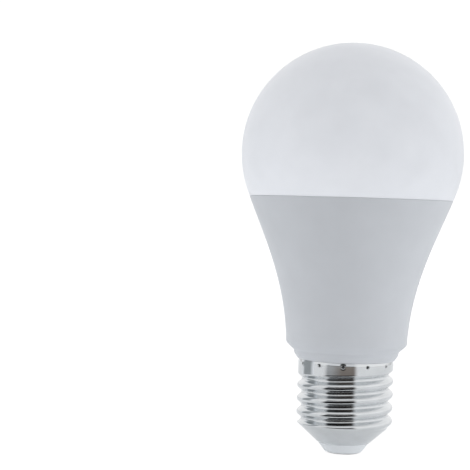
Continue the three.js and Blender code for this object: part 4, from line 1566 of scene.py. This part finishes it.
@dataclass
class DriverModule:
    """The mains driver on its upright board, down in the neck of the housing."""

    score_reach: float = 2.6
    coil: tuple[float, float] = (1.02, 6.98)
    coil_radius: float = 2.55
    coil_pitch: float = 0.426

    def can(self, node: str, material: bpy.types.Material) -> None:
        """Makes an electrolytic capacitor: sleeve, crimp, bare top with a scored cross, and stripe.

        Args:
            node: the CAD node that it stands for.
            material: its material, with the bare top and the stripe as the inlay.
        """
        radius = half_width_of(node)
        foot, top = foot_of(node), top_of(node)
        crown_z = top - 0.12
        corners = np.array([
            (0, foot), (radius - 0.7, foot), (radius, foot + 0.15), (radius, foot + 1.4),
            (radius - 0.5, foot + 1.9), (radius, foot + 2.4), (radius, top), (radius - 0.75, top),
            (radius - 0.8, crown_z), (0, crown_z),
        ])
        side = fillet(corners, np.array([0, 0.2, 0.4, 0.6, 0.5, 0.6, 0.35, 0.08, 0, 0]), closed=False)
        crown = np.stack([np.linspace(radius - 0.85, 0, 18), np.full(18, crown_z)], axis=-1)
        rows = turned(np.concatenate([side[:-1], crown]), 96)
        reach = np.hypot(rows[..., 0], rows[..., 1])
        arm = np.minimum(np.abs(rows[..., 0]), np.abs(rows[..., 1]))
        bare = (reach < radius - 0.78) & (rows[..., 2] > top - 0.2)
        scored = bare & (reach < self.score_reach)
        rows[..., 2] -= np.where(scored, 0.1 * np.clip(1 - arm / 0.22, 0, 1), 0)
        angle = np.arctan2(rows[..., 1], rows[..., 0])
        stripe = (np.abs(angle + 2.2) < 0.28) & (rows[..., 2] < top - 0.6) & (reach > radius - 0.6)
        marks = (bare | stripe).astype(float)
        piece = skin(node + "_can", rows + spot_of(node), marks=(marks,))
        place(piece, node, material)

    def inductor(self) -> None:
        """A ferrite drum wound with enamelled wire: each turn is a half round on the winding."""
        node = "filter_inductor"
        radius = half_width_of(node)
        height = np.linspace(*self.coil, 105)
        wound = self.coil_radius + 0.14 * np.abs(np.sin(np.pi * (height - 1) / self.coil_pitch))
        drum = [(0, 0), (radius - 0.1, 0), (radius, 0.1), (radius, 0.9), (radius - 0.1, 1.0)]
        upper = [(radius - 0.1, 7), (radius, 7.1), (radius, 7.9), (radius - 0.1, 8), (0, 8)]
        profile = np.concatenate([drum, np.stack([wound, height], axis=-1), upper])
        marks = np.zeros(len(profile))
        marks[len(drum):-len(upper)] = 1
        rows = turned(profile + (0, foot_of(node)), 56)
        piece = skin("drum_inductor", rows + spot_of(node), marks=(marks[:, None],))
        coil = Inlaid((0.05, 0.05, 0.055), (0.62, 0.27, 0.1), base_roughness=0.7, inlay_metal=0.8)
        place(piece, node, coil.material("enamelled_coil"))

    def resistor(self) -> None:
        """The fusible resistor: swollen end caps under a green coat, two leads and colour bands."""
        node = "fuse_resistor"
        corners = np.array([
            (0, 0), (0.33, 0), (0.33, 1.4), (1.2, 1.45), (1.6, 1.9), (1.6, 3.0), (1.33, 3.6), (1.33, 6.4),
            (1.6, 7.0), (1.6, 8.1), (1.2, 8.55), (0.33, 8.6), (0.33, 10), (0, 10),
        ])
        radii = np.array([0, 0.05, 0.05, 0.4, 0.6, 0.6, 0.8, 0.8, 0.6, 0.6, 0.4, 0.05, 0.05, 0])
        profile = fillet(corners, radii, closed=False)
        bands = np.array([(1.33, z) for z in (4.2, 4.25, 4.7, 4.75, 5.3, 5.35, 5.8, 5.85)])
        split = int(np.searchsorted(profile[:, 1], bands[0, 1]))
        profile = np.concatenate([profile[:split], bands, profile[split:]])
        banded = np.isin(profile[:, 1], (4.25, 4.7, 5.35, 5.8))
        marks = (banded | (profile[:, 0] < 0.5)).astype(float)
        rows = turned(profile + (0, foot_of(node)), 48)
        piece = skin("coated_resistor", rows + spot_of(node), marks=(marks[:, None],))
        coat = Inlaid((0.3, 0.42, 0.26), (0.55, 0.53, 0.5), 0.5, 0.35, inlay_metal=0.7)
        place(piece, node, coat.material("resistor_coat"))

    def build(self) -> None:
        """Makes and dresses the driver."""
        keep("driver_board", "board_green", SolderMask((0.02, 0.16, 0.06)).material("green_solder_mask"))
        sleeve = Inlaid((0.015, 0.022, 0.04), (0.6, 0.61, 0.63), base_roughness=0.3, inlay_metal=0.6)
        sleeve = sleeve.material("capacitor_sleeve")
        self.can("bulk_capacitor", sleeve)
        self.can("output_capacitor", sleeve)
        self.inductor()
        self.resistor()
        keep("transformer_core", "ferrite", SinteredFerrite().material("ferrite_core"))
        bobbin = MouldedPlastic((0.03, 0.03, 0.033), roughness=0.45, mottle=0.1)
        keep("transformer_bobbin", "chip_black", bobbin.material("bobbin_phenolic"))
        keep("transformer_winding", "tape_yellow", WoundTape().material("winding_tape"))
        film = MouldedPlastic((0.42, 0.045, 0.03), roughness=0.3, grain_depth_mm=0.01, mottle=0.06)
        keep("film_capacitor", "film_red", film.material("film_capacitor_coat"))
        disc = MouldedPlastic((0.03, 0.1, 0.38), roughness=0.35, grain_depth_mm=0.02, mottle=0.08)
        keep("varistor", "varistor_blue", disc.material("varistor_coat"))


def build_chips() -> None:
    """Makes the five leaded chips on the LED, radio and driver boards."""
    moulded = Inlaid((0.022, 0.022, 0.024), (0.66, 0.66, 0.67), base_roughness=0.5, inlay_metal=1.0)
    moulded = moulded.material("chip_and_leads")
    small = (3.9, 4.9, 1.5)
    board = top_of("led_board") + SOLDER
    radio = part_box("radio_board")[1].y / MM + SOLDER
    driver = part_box("driver_board")[1].y / MM + SOLDER
    for chip in (
        Chip("current_regulator_chip", small, 4, 0, 90, (0, 5.2, board)),
        Chip("memory_chip", small, 4, -90, 0, (0, radio, 72)),
        Chip("bridge_rectifier", (4.8, 6.5, 2.4), 2, -90, 0, (0, driver, 34)),
        Chip("driver_chip", small, 4, -90, 0, (-5.5, driver, 44)),
        Chip("output_diode", (3.6, 4.4, 2.2), 1, -90, 0, (5.5, driver, 49)),
    ):
        chip.build(moulded)


@dataclass
class Wiring:
    """The four wires: two to the mains contacts and two from the driver up to the LED board."""

    hole_x: float = 10.4
    insulated: float = 0.49
    bare: float = 0.32

    def run(
        self, node: str, points: list, radius: float, side: tuple, material: bpy.types.Material
    ) -> None:
        """Makes one wire.

        Args:
            node: the CAD node that it stands for.
            points: the points that it runs through, in millimetres.
            radius: its radius in millimetres.
            side: a direction that is never along the wire.
            material: its material.
        """
        path = spline(points, 60)
        piece = skin(node + "_run", carried(path, circle(radius), side), crease_deg=50)
        place(piece, node, material)

    def build(self) -> None:
        """Makes the wires."""
        red = MouldedPlastic((0.5, 0.03, 0.02), roughness=0.35, mottle=0.05).material("red_insulation")
        black = MouldedPlastic((0.02, 0.02, 0.022), roughness=0.35, mottle=0.1).material("black_insulation")
        copper = PlatedMetal((0.8, 0.45, 0.28), roughness=0.25, rub_depth_mm=0.003).material("bare_copper")
        live = [(0, 0, 8.3), (0.1, 0.3, 9.2), (1.2, 1.5, 10.6), (1.8, 1.65, 12), (1.8, 1.6, 15)]
        neutral = [
            (-5, 1.5, 14.5), (-5, 1.5, 12), (-5.4, 1.4, 10.4), (-7.2, 0.9, 9.65), (-9.7, 0.1, 9.6),
            (-10.9, 0, 10.1), (-11.2, 0, 11.4), (-11.2, 0, 14), (-11.2, 0, 18.5),
        ]
        over = [
            (-1.55, 51.5), (-1.55, 56.8), (-0.75, 59), (0, 61.2), (0, 63.5), (0, 66.6), (-0.25, 67.5),
            (-0.95, 67.95), (-1.65, 67.5), (-1.85, 66.65),
        ]
        self.run("live_wire", live, self.insulated, (0.3, 1, 0), red)
        self.run("neutral_wire", neutral, self.bare, (0, 1, 0), copper)
        for node, side, material in (("led_wire_red", 1, red), ("led_wire_black", -1, black)):
            points = [(side * self.hole_x, y, z) for y, z in over]
            self.run(node, points, self.insulated, (1, 0, 0), material)


def main() -> None:
    """Builds the lamp piece by piece, then its stage."""
    logging.basicConfig(level=logging.INFO, format="%(name)s: %(message)s")
    globe = Globe().build()
    Housing().build()
    ScrewCap().build()
    LedStack().build()
    RadioModule().build()
    DriverModule().build()
    build_chips()
    Wiring().build()
    Studio().build(globe)


if __name__ == "__main__":
    main()
